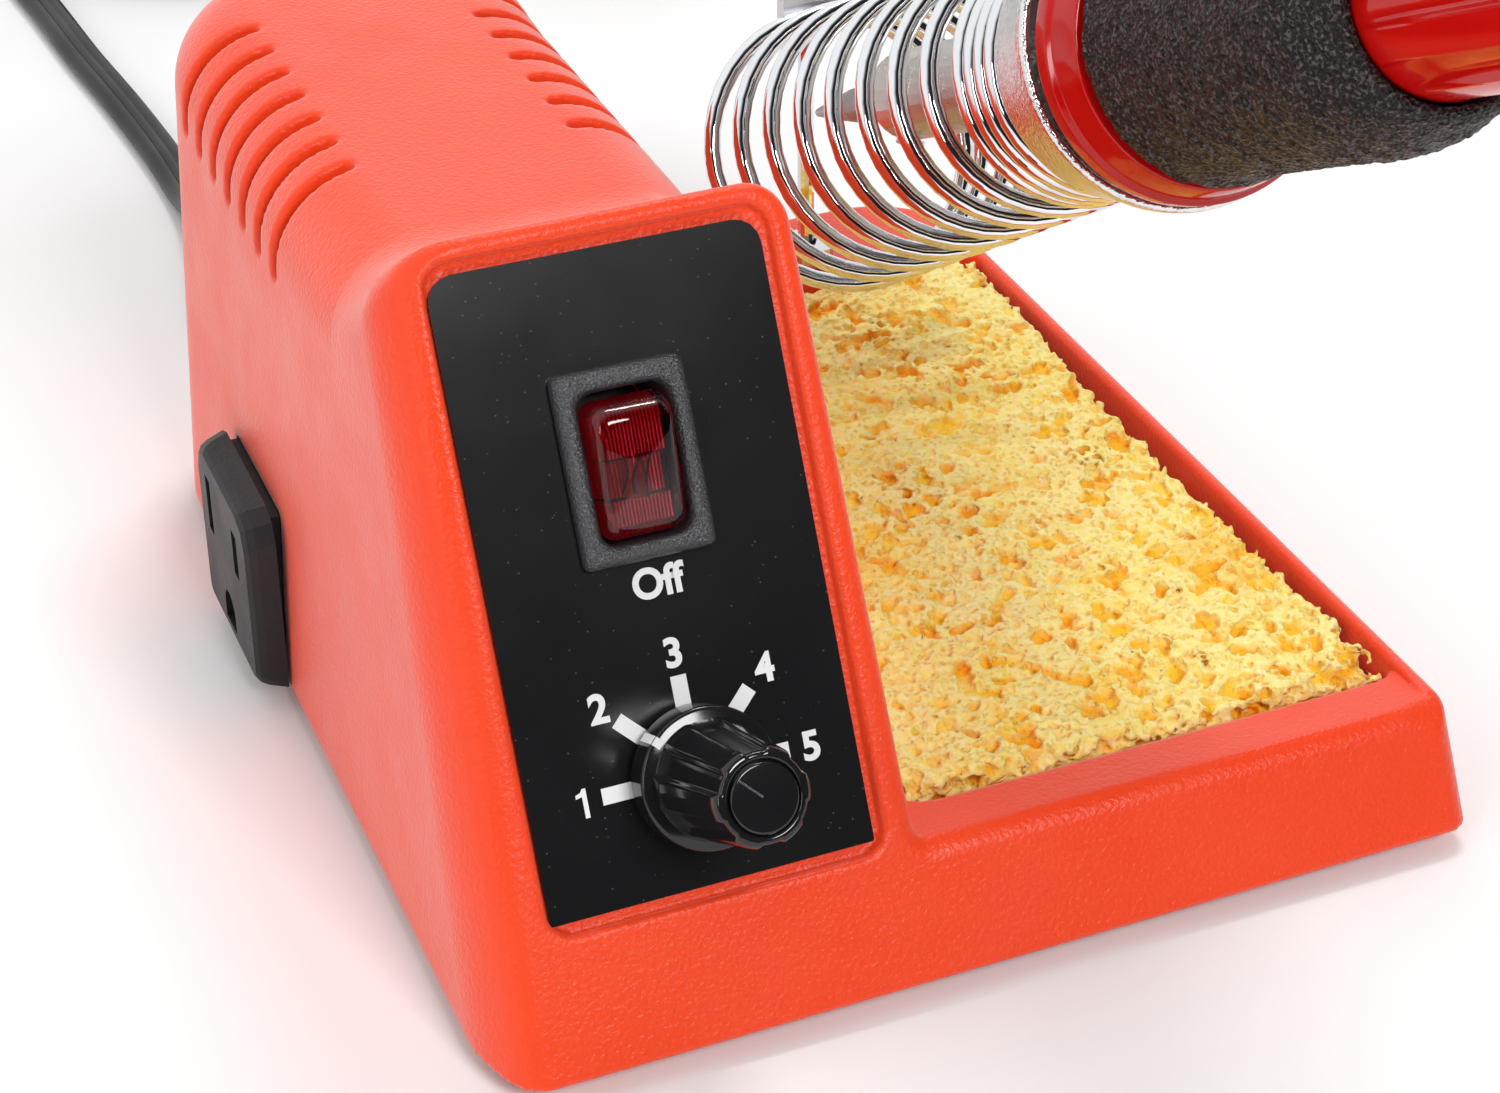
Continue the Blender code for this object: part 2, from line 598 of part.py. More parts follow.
def holder():
    axis = Vector((0, -math.cos(HOLDER_TILT), math.sin(HOLDER_TILT)))
    place = along(HOLDER_AT, axis)
    solid("holder_spring", sweep(spring_points(), WIRE / 2), "chrome", place)
    funnel = [(12.0, 77), (12.0, 88.9), (12.6, 89.45), (15.6, 89.5), (16.3, 90.4), (18.0, 99.9),
              (18.5, 100.8), (18.6, 102.2), (18.2, 102.6), (17.7, 102.6), (17.3, 101.6), (15.4, 91.8),
              (13.2, 90.8), (11.0, 90.2), (11.0, 77)]
    solid("holder_funnel", turned(funnel, 40), "chrome", place @ Matrix.Translation((FUNNEL_SHIFT, 0, 0)))
    x, y = POST_AT
    solid("holder_post", rod(WIRE / 2, 8, POST_TOP, 12), "chrome", Matrix.Translation((x, y, 0)))
    nut = [(1.8, BASE_TOP + GAP), (4.4, BASE_TOP + GAP), (4.4, BASE_TOP + 3.2), (1.8, BASE_TOP + 3.2)]
    solid("holder_nut", turned(nut, 6), "plated_metal", Matrix.Translation((x, y, 0)))
    solid("holder_clip", block((x - 5, 134.2, 51), (x + 4, y - WIRE / 2 - GAP, 59)), "plated_metal")


# ---------------------------------------------------------------- iron

def iron():
    """The iron lies in the holder, its collar against the funnel. Stations run forward along it."""
    axis = Vector((0, -math.cos(IRON_TILT), math.sin(IRON_TILT)))
    place = along(IRON_AT, axis)

    def piece(name, profile, slot, segments=32):
        return solid(name, turned(profile, segments), slot, place, IRON_AT)

    collar = [(6.7, -3.0), (17.3, -3.0), (17.9, -2.2), (17.9, 0), (17.2, 0.5), (16.9, 2.4), (16.4, 4.4),
              (6.7, 4.4)]
    piece("iron_collar", collar, "handle_red", 40)
    sleeve = [(10.7, 4.7), (15.4, 4.7), (16.1, 5.6), (15.2, 14), (15.0, 39), (14.3, 44), (13.0, 48.3),
              (11.8, 50.2), (10.7, 50.6)]
    piece("foam_grip", sleeve, "grip_foam", 36)
    inner = [(0, 4.7), (10.3, 4.7), (10.3, 53), (10.0, 100), (9.2, 104), (0, 104)]
    core = piece("handle_core", inner, "handle_red")
    flutes = bmesh.new()
    for k in range(8):
        turn = Matrix.Rotation(math.radians(45 * k), 4, "Z") @ Matrix.Translation((11.4, 0, 0))
        flute = rod(2.0, FLUTE_START, 108, 8)
        flute.transform(turn)
        flute.verts.ensure_lookup_table()
        copy = bpy.data.meshes.new("flute")
        flute.to_mesh(copy)
        flutes.from_mesh(copy)
        bpy.data.meshes.remove(copy)
        flute.free()
    combine(core, "cut_flutes", flutes, place)
    inlet = [(0, 104.3), (7.6, 104.3), (7.6, 106), (6.0, 112), (5.2, 118), (0, 118)]
    end = piece("handle_end", inlet, "black_plastic", 24)
    combine(end, "cut_cord_inlet", block((-3.2, -1.8, 107), (3.2, 1.8, 130)), place)
    piece("iron_barrel", [(4.2, BARREL_END), (6.0, BARREL_END), (6.0, 4.2), (4.2, 4.2)], "barrel_steel", 28)
    piece("heater_element", [(0, -62), (3.6, -62), (3.6, 0), (0, 0)], "part_ceramic", 16)
    tip = [(0, -114.5), (0.6, -114), (1.5, -107), (2.4, -99), (2.4, -80.6), (3.4, -79.8), (3.4, -63),
           (0, -63)]
    piece("iron_tip", tip, "tip_metal", 20)
    side = place @ Matrix.Translation((0, 0, SCREW_AT)) @ Matrix.Rotation(math.radians(-25), 4, "Z")
    side = side @ Matrix.Rotation(math.radians(90), 4, "X")
    barrel = bpy.data.objects["iron_barrel"]
    combine(barrel, "cut_screw_hole", rod(1.5, 0, 12, 12), side)
    screw = [(0, 3.8), (1.2, 3.8), (1.2, 6.3), (1.9, 6.3), (1.9, 7.0), (0, 7.1)]
    solid("tip_screw", turned(screw, 14), "plated_metal", side, IRON_AT)


# ---------------------------------------------------------------- mains cord

def mains_cord():
    gland = [(0, 144), (4.7, 144), (4.7, 151.6), (6.6, 151.9), (6.6, 154), (4.9, 154.3), (4.4, 162),
             (3.5, GLAND_END_Y), (0, GLAND_END_Y)]
    solid("cord_gland", turned(gland, 20), "cord_pvc", along((GLAND_X, 0, GLAND_Z), (0, 1, 0)))
    cx, cy = COIL_CENTRE
    enter_x = cx - COIL_MID_R - COIL_HALF_WIDTH + CORD_WIDTH / 2
    start = GLAND_END_Y + GAP
    lead = [(-38, start, GLAND_Z), (-38, start + 8, 16.2), (-38, 193, 12.4), (-38.2, 203, 6.2),
            (-38.4, 213, 1.6), (-38.6, 224, CORD_Z), (-39, 240, CORD_Z), (-40.5, 262, CORD_Z),
            (-42.6, 284, CORD_Z),
            (enter_x + 2.2, 306, CORD_Z), (enter_x + 0.4, cy - 23.5, CORD_Z)]
    tube("mains_cord", lead, CORD_THICK / 2, "cord_pvc")
    low, high = TABLE_Z + 0.05, TABLE_Z + COIL_HIGH
    inner, outer = COIL_MID_R - COIL_HALF_WIDTH, COIL_MID_R + COIL_HALF_WIDTH
    ring = [(inner, low), (outer, low), (outer, high), (inner, high)]
    solid("cord_coil", turned(ring, 40), "cord_pvc", Matrix.Translation((cx, cy, 0)))
    top = cy + outer - CORD_WIDTH / 2
    tail = [(cx + 22.5, top - 0.6, CORD_Z), (cx + 34, top - 3, CORD_Z), (cx + 48, top - 9.5, CORD_Z),
            (PLUG_X - 6.5, top - 20, CORD_Z), (PLUG_X - 0.8, top - 33, 1.0), (PLUG_X, PLUG_REAR_Y + GAP, 3.5)]
    tube("cord_tail", tail, CORD_THICK / 2, "cord_pvc")
    plug()


def plug():
    """A three-pin plug that lies beside the coil, its blades towards the station."""
    mid = TABLE_Z + 12.4
    rings = []
    levels = ((PLUG_REAR_Y, 4.6, 3.2, 3.5), (PLUG_REAR_Y - 12, 5.6, 4.2, 4.6),
              (PLUG_REAR_Y - 16, 9.0, 9.0, mid - 1.5), (PLUG_REAR_Y - 24, 12.2, 11.9, mid),
              (PLUG_REAR_Y - 40, 12.6, 12.3, mid),
              (PLUG_REAR_Y - 41, 11.8, 11.5, mid))
    for y, half_x, half_z, z in levels:
        corners = (0.55 * min(half_x, half_z),) * 4
        outline = rounded(PLUG_X - half_x, z - half_z, PLUG_X + half_x, z + half_z, corners, 3)
        rings.append([(x, y, height) for x, height in outline])
    obj = solid("plug_body", loft(rings), "cord_pvc")
    front = PLUG_REAR_Y - 41
    blades = mid - 4.2
    half = 3.15
    for name, side in (("line", -1), ("neutral", 1)):
        x = PLUG_X + side * BLADE_SPACING / 2
        slot = block((x - 1.05, front - 4, blades - 3.5), (x + 1.05, front + 7, blades + 3.5))
        combine(obj, f"cut_plug_{name}", slot)
        blade = block((x - 0.75, front - 17.5, blades - half), (x + 0.75, front + 6.5, blades + half))
        solid(f"plug_blade_{name}", blade, "brass_contact")
    place = along((PLUG_X, front, blades + GROUND_DROP), (0, 1, 0))
    combine(obj, "cut_plug_ground", rod(2.7, -4, 7, 16), place)
    solid("plug_ground_pin", turned([(0, -20.5), (1.4, -20.3), (2.38, -18), (2.38, 6.5), (0, 6.5)], 16),
          "brass_contact", place)


def main():
    clear_scene()
    housing()
    cover_and_feet()
    label()
    switch()
    knob(*potentiometer())
    electronics()
    receptacle()
    sponge()
    holder()
    iron()
    mains_cord()


main()
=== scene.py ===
"""The looks of the soldering iron station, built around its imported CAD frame.

Lengths are in millimetres in the design frame: X = 0 at the middle of the housing, Y = 0 at its front
bottom edge with +Y to the back, Z = 0 at its bottom edge. ORIGIN and MM take them to the frame's metres.
"""

import math

import bmesh
import bpy
import numpy as np
from mathutils import Matrix, Vector


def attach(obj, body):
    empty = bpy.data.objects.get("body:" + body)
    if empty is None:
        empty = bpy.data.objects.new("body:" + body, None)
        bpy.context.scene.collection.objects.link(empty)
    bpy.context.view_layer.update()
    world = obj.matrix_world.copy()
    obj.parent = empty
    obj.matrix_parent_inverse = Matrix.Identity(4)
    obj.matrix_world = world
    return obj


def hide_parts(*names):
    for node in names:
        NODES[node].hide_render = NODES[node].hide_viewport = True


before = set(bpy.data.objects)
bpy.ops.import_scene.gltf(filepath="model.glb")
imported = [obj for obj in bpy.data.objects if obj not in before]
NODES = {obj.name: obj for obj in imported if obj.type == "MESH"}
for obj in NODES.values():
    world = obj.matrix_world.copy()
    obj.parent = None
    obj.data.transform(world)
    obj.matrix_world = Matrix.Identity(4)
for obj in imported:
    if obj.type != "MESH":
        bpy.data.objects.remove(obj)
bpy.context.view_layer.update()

MM = 0.001
ORIGIN = Vector((-2.0, 38.05, -2.5))
TABLE_Z = -2.5
FRONT_TILT = math.radians(28.0)
SLOPE = math.tan(FRONT_TILT)
SIN_T, COS_T = math.sin(FRONT_TILT), math.cos(FRONT_TILT)
PANEL = Matrix.Rotation(math.radians(90) - FRONT_TILT, 4, "X")
SWITCH_AT = (-32.7, 63.65)
POT_AT = (-32.03, 29.37)
LABEL_TOP = -0.6

HOLDER_TILT = math.radians(30.7)
HOLDER_AT = Vector((32.9, 122.9, 38.7))
IRON_TILT = math.radians(27.5)
IRON_AT = Vector((33.5, 30.9, 92.95))
WIRE_R = 1.2

CORD_THICK, CORD_WIDTH = 3.2, 6.4
CORD_Z = TABLE_Z + CORD_THICK / 2 + 0.1
GLAND_END_Y = 176.0
COIL_CENTRE = (-1.0, 351.0)
COIL_OUT_R = 45.3
PLUG_X, PLUG_REAR_Y = 65.0, 345.0


# The housing, as in the CAD.
HALF_WIDTH = 60.3
REAR_Y = 151.5
BASE_REAR_Y = 152.3
WALL = 2.5
LEFT_LEAN, RIGHT_LEAN, REAR_LEAN = 0.05, 0.015, 0.017
TOWER_RIGHT = -8.4
TOWER_TOP = 70.3
RIM_BACK_Y = 65.0
RIM_FILLET = 29.2
FRONT_CORNER = 19.5
FRONT_CORNER_Y = 11.7
REAR_CORNER = 23.0
REAR_RIGHT_CORNER = 8.0
BASE_TOP = 13.7
BASE_CORNER = 15.0
WELL = ((-6, 15.5), (58, 131), 4.0)
RECESS = ((-51.4, 15.8), (-12.4, 88.3), 1.3)
SCREWS = ((-55, 30), (-55, 118), (-13, 30), (-13, 118))
VENT_COUNT = 7
VENT_PITCH = 7.05
VENT_FIRST_Y = 83.0
VENT_HALF_WIDTH = 1.05
VENT_LOW_Z = 57.3

SPONGE_LOW, SPONGE_HIGH = (-5.4, 17.6, 4.3), (57.2, 130.4, 13.2)
PORES, QUICK_PORES = 4600, 900

# The holder's coil and funnel.
SPRING_REAR_R = 20.2
SPRING_TAPER = 0.055
WIDE_TURNS, WIDE_PITCH, PITCH_FALL = 8, 11, 0.15
CLOSE_TURNS, CLOSE_PITCH = 3.5, 2.65
REAR_TURNS, REAR_PITCH = 0.75, 2.8
FUNNEL_SHIFT = 0.6

# The unseen length of the lead.
COIL_TURNS = 2.6
COIL_PITCH = 6.5
COIL_STEPS = 24

CAMERA_AT = (-130.584, -243.578, 234.614)
CAMERA_TURN = (22.793, 30.393, 0.221)
CAMERA_LENS = 76.833
CAMERA_SHIFT = (-0.01964, -0.10146)


# ---------------------------------------------------------------- frames and meshes

def to_world(point):
    """A design point in millimetres, in the frame's metres."""
    return (Vector(point) - ORIGIN) * MM


def along(origin, direction):
    """The matrix that puts local Z along a direction, local X staying level."""
    z = Vector(direction).normalized()
    x = Vector((1, 0, 0)) if abs(z.x) < 0.9 else Vector((0, 1, 0))
    y = z.cross(x).normalized()
    x = y.cross(z)
    return Matrix.Translation(origin) @ Matrix((x, y, z)).transposed().to_4x4()


IRON_PLACE = along(IRON_AT, (0, -math.cos(IRON_TILT), math.sin(IRON_TILT)))
HOLDER_PLACE = along(HOLDER_AT, (0, -math.cos(HOLDER_TILT), math.sin(HOLDER_TILT)))
SWITCH_PLACE = PANEL @ Matrix.Translation((*SWITCH_AT, 0))
KNOB_PLACE = PANEL @ Matrix.Translation((*POT_AT, 0))


def add(name, mesh, surface, body="station", replaces=(), smooth=True, sharp=None):
    """Links a finished mesh as a piece that rides on a body and may stand for CAD nodes."""
    obj = bpy.data.objects.new(name, mesh)
    bpy.context.scene.collection.objects.link(obj)
    if smooth:
        mesh.shade_smooth()
        if sharp:
            mesh.set_sharp_from_angle(angle=math.radians(sharp))
    mesh.materials.clear()
    mesh.materials.append(surface)
    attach(obj, body)
    if replaces:
        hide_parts(*replaces)
    return obj


def finished(bm, name, matrix=None):
    """A mesh in the frame's metres from a bmesh in design millimetres."""
    if matrix:
        bm.transform(matrix)
    bmesh.ops.recalc_face_normals(bm, faces=bm.faces)
    for vert in bm.verts:
        vert.co = to_world(vert.co)
    mesh = bpy.data.meshes.new(name)
    bm.to_mesh(mesh)
    bm.free()
    return mesh


def loft(rings, bm=None, ends=True):
    """Faces between one closed ring of points and the next, with a face over each end."""
    bm = bm or bmesh.new()
    rows = [[bm.verts.new(point) for point in ring] for ring in rings]
    count = len(rows[0])
    for low, high in zip(rows, rows[1:]):
        for i in range(count):
            j = (i + 1) % count
            bm.faces.new((low[i], low[j], high[j], high[i]))
    if ends:
        bm.faces.new(rows[0][::-1])
        bm.faces.new(rows[-1])
    return bm


def turned(profile, segments, ripple=None):
    """A surface turned about Z from (radius, height) points.

    A profile that starts and ends off the axis closes on itself. ripple(angle, height, radius) adds to the
    radius.
    """
    bm = bmesh.new()
    rows = []
    for radius, height in profile:
        if radius == 0:
            rows.append([bm.verts.new((0, 0, height))])
            continue
        row = []
        for i in range(segments):
            a = 2 * math.pi * i / segments
            r = radius + (ripple(a, height, radius) if ripple else 0)
            row.append(bm.verts.new((r * math.cos(a), r * math.sin(a), height)))
        rows.append(row)
    pairs = list(zip(rows, rows[1:]))
    if profile[0][0]:
        pairs.append((rows[-1], rows[0]))
    for one, two in pairs:
        for i in range(segments):
            j = (i + 1) % segments
            face = [one[i % len(one)], one[j % len(one)], two[j % len(two)], two[i % len(two)]]
            bm.faces.new(list(dict.fromkeys(face)))
    return bm


def rounded_profile(profile, radius, steps=4, closed=True):
    """The profile with each corner replaced by a small arc."""
    points = []
    count = len(profile)
    for i, point in enumerate(profile):
        here = Vector(point)
        if not closed and i in (0, count - 1) or point[0] == 0:
            points.append(tuple(here))
            continue
        before, after = Vector(profile[i - 1]) - here, Vector(profile[(i + 1) % count]) - here
        angle = before.angle(after)
        if angle > math.radians(168):
            points.append(tuple(here))
            continue
        cut = min(radius / math.tan(angle / 2), 0.45 * before.length, 0.45 * after.length)
        a, b = here + before.normalized() * cut, here + after.normalized() * cut
        for k in range(steps + 1):
            t = k / steps
            points.append(tuple(a * (1 - t) ** 2 + here * 2 * t * (1 - t) + b * t * t))
    return points


def arc(centre, radius, start, end, steps):
    """Points on an arc between two angles in degrees."""
    turns = [math.radians(start + (end - start) * i / steps) for i in range(steps + 1)]
    return [(centre[0] + radius * math.cos(a), centre[1] + radius * math.sin(a)) for a in turns]


def rounded(x0, y0, x1, y1, radius, steps):
    """A rectangle's outline with round corners, from the low corner anticlockwise."""
    corners = ((x0, y0, 1, 1, 180), (x1, y0, -1, 1, 270), (x1, y1, -1, -1, 0), (x0, y1, 1, -1, 90))
    points = []
    for x, y, side_x, side_y, start in corners:
        points += arc((x + side_x * radius, y + side_y * radius), radius, start, start + 90, steps)
    return points


def smooth_route(route, step):
    """Points a step apart on a smooth curve through the route's points."""
    points = [Vector(p) for p in route]
    points = [2 * points[0] - points[1]] + points + [2 * points[-1] - points[-2]]
    pieces = 20
    fine = []
    for a, b, c, d in zip(points, points[1:], points[2:], points[3:]):
        for i in range(pieces):
            t = i / pieces
            fine.append(
                0.5 * (2 * b + (c - a) * t + (2 * a - 5 * b + 4 * c - d) * t * t
                       + (3 * b - a - 3 * c + d) * t ** 3)
            )
    fine.append(points[-2])
    spaced, left = [fine[0]], step
    for one, two in zip(fine, fine[1:]):
        length = (two - one).length
        while left <= length:
            spaced.append(one.lerp(two, left / length))
            left += step
        left -= length
    if (spaced[-1] - fine[-1]).length < step / 2:
        spaced.pop()
    return spaced + [fine[-1]]


def sweep(points, outline, up=None, bm=None):
    """An outline of (across, up) points swept along a line. Where up is given, across stays level."""
    rings = []
    normal = None
    for i, point in enumerate(points):
        tangent = (points[min(i + 1, len(points) - 1)] - points[max(i - 1, 0)]).normalized()
        if up:
            across = tangent.cross(Vector(up)).normalized()
            normal = across.cross(tangent)
        else:
            normal = normal or tangent.orthogonal()
            normal = (normal - tangent * normal.dot(tangent)).normalized()
            across = tangent.cross(normal)
        rings.append([point + across * x + normal * y for x, y in outline])
    return loft(rings, bm)


# ---------------------------------------------------------------- solids from distance fields

def round_and(a, b, r):
    """Where both fields are inside, the edge between them rounded to r."""
    return np.minimum(np.maximum(a, b), -r) + np.hypot(np.maximum(a + r, 0), np.maximum(b + r, 0))


def round_or(a, b, r):
    """Where either field is inside, the corner between them rounded to r."""
    return -round_and(-a, -b, r)


def round_cut(a, b, r):
    """Where the first field is inside and the second isn't, the edge between them rounded to r."""
    return round_and(a, -b, r)


def box_field(x, y, low, high, radius):
    """Distance to a rectangle with round corners."""
    half = ((high[0] - low[0]) / 2, (high[1] - low[1]) / 2)
    dx = np.abs(x - (low[0] + high[0]) / 2) - half[0] + radius
    dy = np.abs(y - (low[1] + high[1]) / 2) - half[1] + radius
    return np.hypot(np.maximum(dx, 0), np.maximum(dy, 0)) + np.minimum(np.maximum(dx, dy), 0) - radius


def grid_of(low, high, step):
    """The grid's x, y and z values, shaped so that they spread over it together."""
    axes = [np.arange(a, b + step, step, dtype=np.float32) for a, b in zip(low, high)]
    return axes[0][:, None, None], axes[1][None, :, None], axes[2][None, None, :]


def net_mesh(name, field, low, step):
    """The field's zero surface as a mesh of quads, one vertex in each cell that it passes through."""
    shape = np.array(field.shape)
    cell_of = np.array([1, shape[0], shape[0] * shape[1]], np.int64)
    cells, crossings, quads = [], [], []
    for axis in range(3):
        lower = [slice(None)] * 3
        upper = [slice(None)] * 3
        lower[axis], upper[axis] = slice(0, -1), slice(1, None)
        a, b = field[tuple(lower)], field[tuple(upper)]
        at = np.argwhere((a < 0) != (b < 0))
        one, two = (axis + 1) % 3, (axis + 2) % 3
        inner = (at[:, one] > 0) & (at[:, two] > 0)
        inner &= (at[:, one] < shape[one] - 1) & (at[:, two] < shape[two] - 1)
        at = at[inner]
        va, vb = a[tuple(at.T)], b[tuple(at.T)]
        cross = at.astype(np.float32)
        cross[:, axis] += va / (va - vb)
        around = []
        for d_one, d_two in ((-1, -1), (0, -1), (0, 0), (-1, 0)):
            cell = at.copy()
            cell[:, one] += d_one
            cell[:, two] += d_two
            around.append(cell @ cell_of)
        around = np.stack(around, 1)
        cells.append(around.ravel())
        crossings.append(np.repeat(cross, 4, axis=0))
        quads.append(np.where((va < 0)[:, None], around, around[:, ::-1]))
    cells, crossings, quads = np.concatenate(cells), np.concatenate(crossings), np.concatenate(quads)
    keys, index = np.unique(cells, return_inverse=True)
    count = np.bincount(index)
    points = np.stack([np.bincount(index, weights=crossings[:, k]) / count for k in range(3)], 1)
    points = points * step + np.array(low)
    points = (points - np.array(ORIGIN)) * MM
    faces = np.searchsorted(keys, quads)
    mesh = bpy.data.meshes.new(name)
    mesh.vertices.add(len(points))
    mesh.vertices.foreach_set("co", points.astype(np.float32).ravel())
    mesh.loops.add(faces.size)
    mesh.loops.foreach_set("vertex_index", faces.astype(np.int32).ravel())
    mesh.polygons.add(len(faces))
    mesh.polygons.foreach_set("loop_start", np.arange(0, faces.size, 4, dtype=np.int32))
    mesh.update(calc_edges=True)
    mesh.validate()
    return mesh


def thinned(mesh, ratio):
    """The mesh with its flat stretches simplified."""
    obj = bpy.data.objects.new("thinning", mesh)
    bpy.context.scene.collection.objects.link(obj)
    modifier = obj.modifiers.new("thin", "DECIMATE")
    modifier.ratio = ratio
    graph = bpy.context.evaluated_depsgraph_get()
    made = bpy.data.meshes.new_from_object(obj.evaluated_get(graph))
    made.name = mesh.name
    bpy.data.objects.remove(obj)
    return made


# ---------------------------------------------------------------- materials

# The Mix node's sockets for a blend of colours: its factor, its two colours and its result.
MIX_INPUTS = (0, 6, 7)
MIX_RESULT = 2


class Nodes:
    """Builds a material's nodes with short calls."""

    def __init__(self, name):
        self.material = bpy.data.materials.new(name)
        self.material.use_nodes = True
        self.tree = self.material.node_tree
        self.shader = self.tree.nodes["Principled BSDF"]
        self.coords = self.tree.nodes.new("ShaderNodeTexCoord").outputs["Object"]

    def link(self, source, socket):
        """Joins an output to an input."""
        self.tree.links.new(source, socket)

    def set(self, **values):
        """Sets the shader's own sockets, with _ for each space in a name."""
        for name, value in values.items():
            self.shader.inputs[name.replace("_", " ")].default_value = value

    def noise(self, scale, detail):
        """Cloudy noise, from 0 to 1."""
        node = self.tree.nodes.new("ShaderNodeTexNoise")
        node.inputs["Scale"].default_value = scale
        node.inputs["Detail"].default_value = detail
        self.link(self.coords, node.inputs["Vector"])
        return node.outputs["Fac"]

    def cells(self, scale, coords=None):
        """The distance to the nearest of many scattered points."""
        node = self.tree.nodes.new("ShaderNodeTexVoronoi")
        node.inputs["Scale"].default_value = scale
        self.link(coords or self.coords, node.inputs["Vector"])
        return node.outputs["Distance"]

    def ramp(self, fac, *stops):
        """Greys between stops of (place, brightness)."""
        node = self.tree.nodes.new("ShaderNodeValToRGB")
        elements = node.color_ramp.elements
        while len(elements) < len(stops):
            elements.new(0.5)
        for element, (place, value) in zip(elements, stops):
            element.position = place
            element.color = (value, value, value, 1)
        self.link(fac, node.inputs["Fac"])
        return node.outputs["Color"]

    def mix(self, fac, one, two):
        """A blend of two colours, each a socket or a value, as fac goes from 0 to 1."""
        node = self.tree.nodes.new("ShaderNodeMix")
        node.data_type = "RGBA"
        for value, socket in zip((fac, one, two), (node.inputs[i] for i in MIX_INPUTS)):
            if isinstance(value, bpy.types.NodeSocket):
                self.link(value, socket)
            elif isinstance(value, (int, float)):
                socket.default_value = value
            else:
                socket.default_value = (*value, 1)
        return node.outputs[MIX_RESULT]

    def math(self, kind, one, two):
        """A math node on two values, each a socket or a number."""
        node = self.tree.nodes.new("ShaderNodeMath")
        node.operation = kind
        for value, socket in ((one, node.inputs[0]), (two, node.inputs[1])):
            if isinstance(value, bpy.types.NodeSocket):
                self.link(value, socket)
            else:
                socket.default_value = value
        return node.outputs[0]

    def colour(self, value):
        self.link(value, self.shader.inputs["Base Color"])

    def roughness(self, value):
        self.link(value, self.shader.inputs["Roughness"])

    def bump(self, height, strength, distance):
        """Relief from a height, its distance in millimetres."""
        node = self.tree.nodes.new("ShaderNodeBump")
        node.inputs["Strength"].default_value = strength
        node.inputs["Distance"].default_value = distance * MM
        self.link(height, node.inputs["Height"])
        self.link(node.outputs["Normal"], self.shader.inputs["Normal"])


def moulded(name, light, dark, rough, grain, **values):
    """Slow changes of tone, uneven gloss, and a grain of a scale, a depth in millimetres and a strength."""
    scale, depth, strength = grain
    n = Nodes(name)
    n.colour(n.mix(n.ramp(n.noise(28, 4), (0.35, 0.0), (0.7, 1.0)), light, dark))
    n.roughness(n.ramp(n.noise(90, 3), (0.3, rough[0]), (0.7, rough[1])))
    n.bump(n.noise(scale, 2), strength, depth)
    n.set(**values)
    return n.material


def label_surface():
    """A semi-gloss black film with a few pale specks in it."""
    n = Nodes("label_film")
    specks = n.ramp(n.cells(800), (0.0, 1.0), (0.10, 0.0))
    n.colour(n.mix(specks, (0.009, 0.009, 0.010), (0.13, 0.13, 0.14)))
    n.roughness(n.ramp(n.noise(60, 3), (0.3, 0.17), (0.7, 0.22)))
    n.set(Specular_IOR_Level=0.32)
    n.bump(n.noise(3000, 2), 0.2, 0.012)
    return n.material


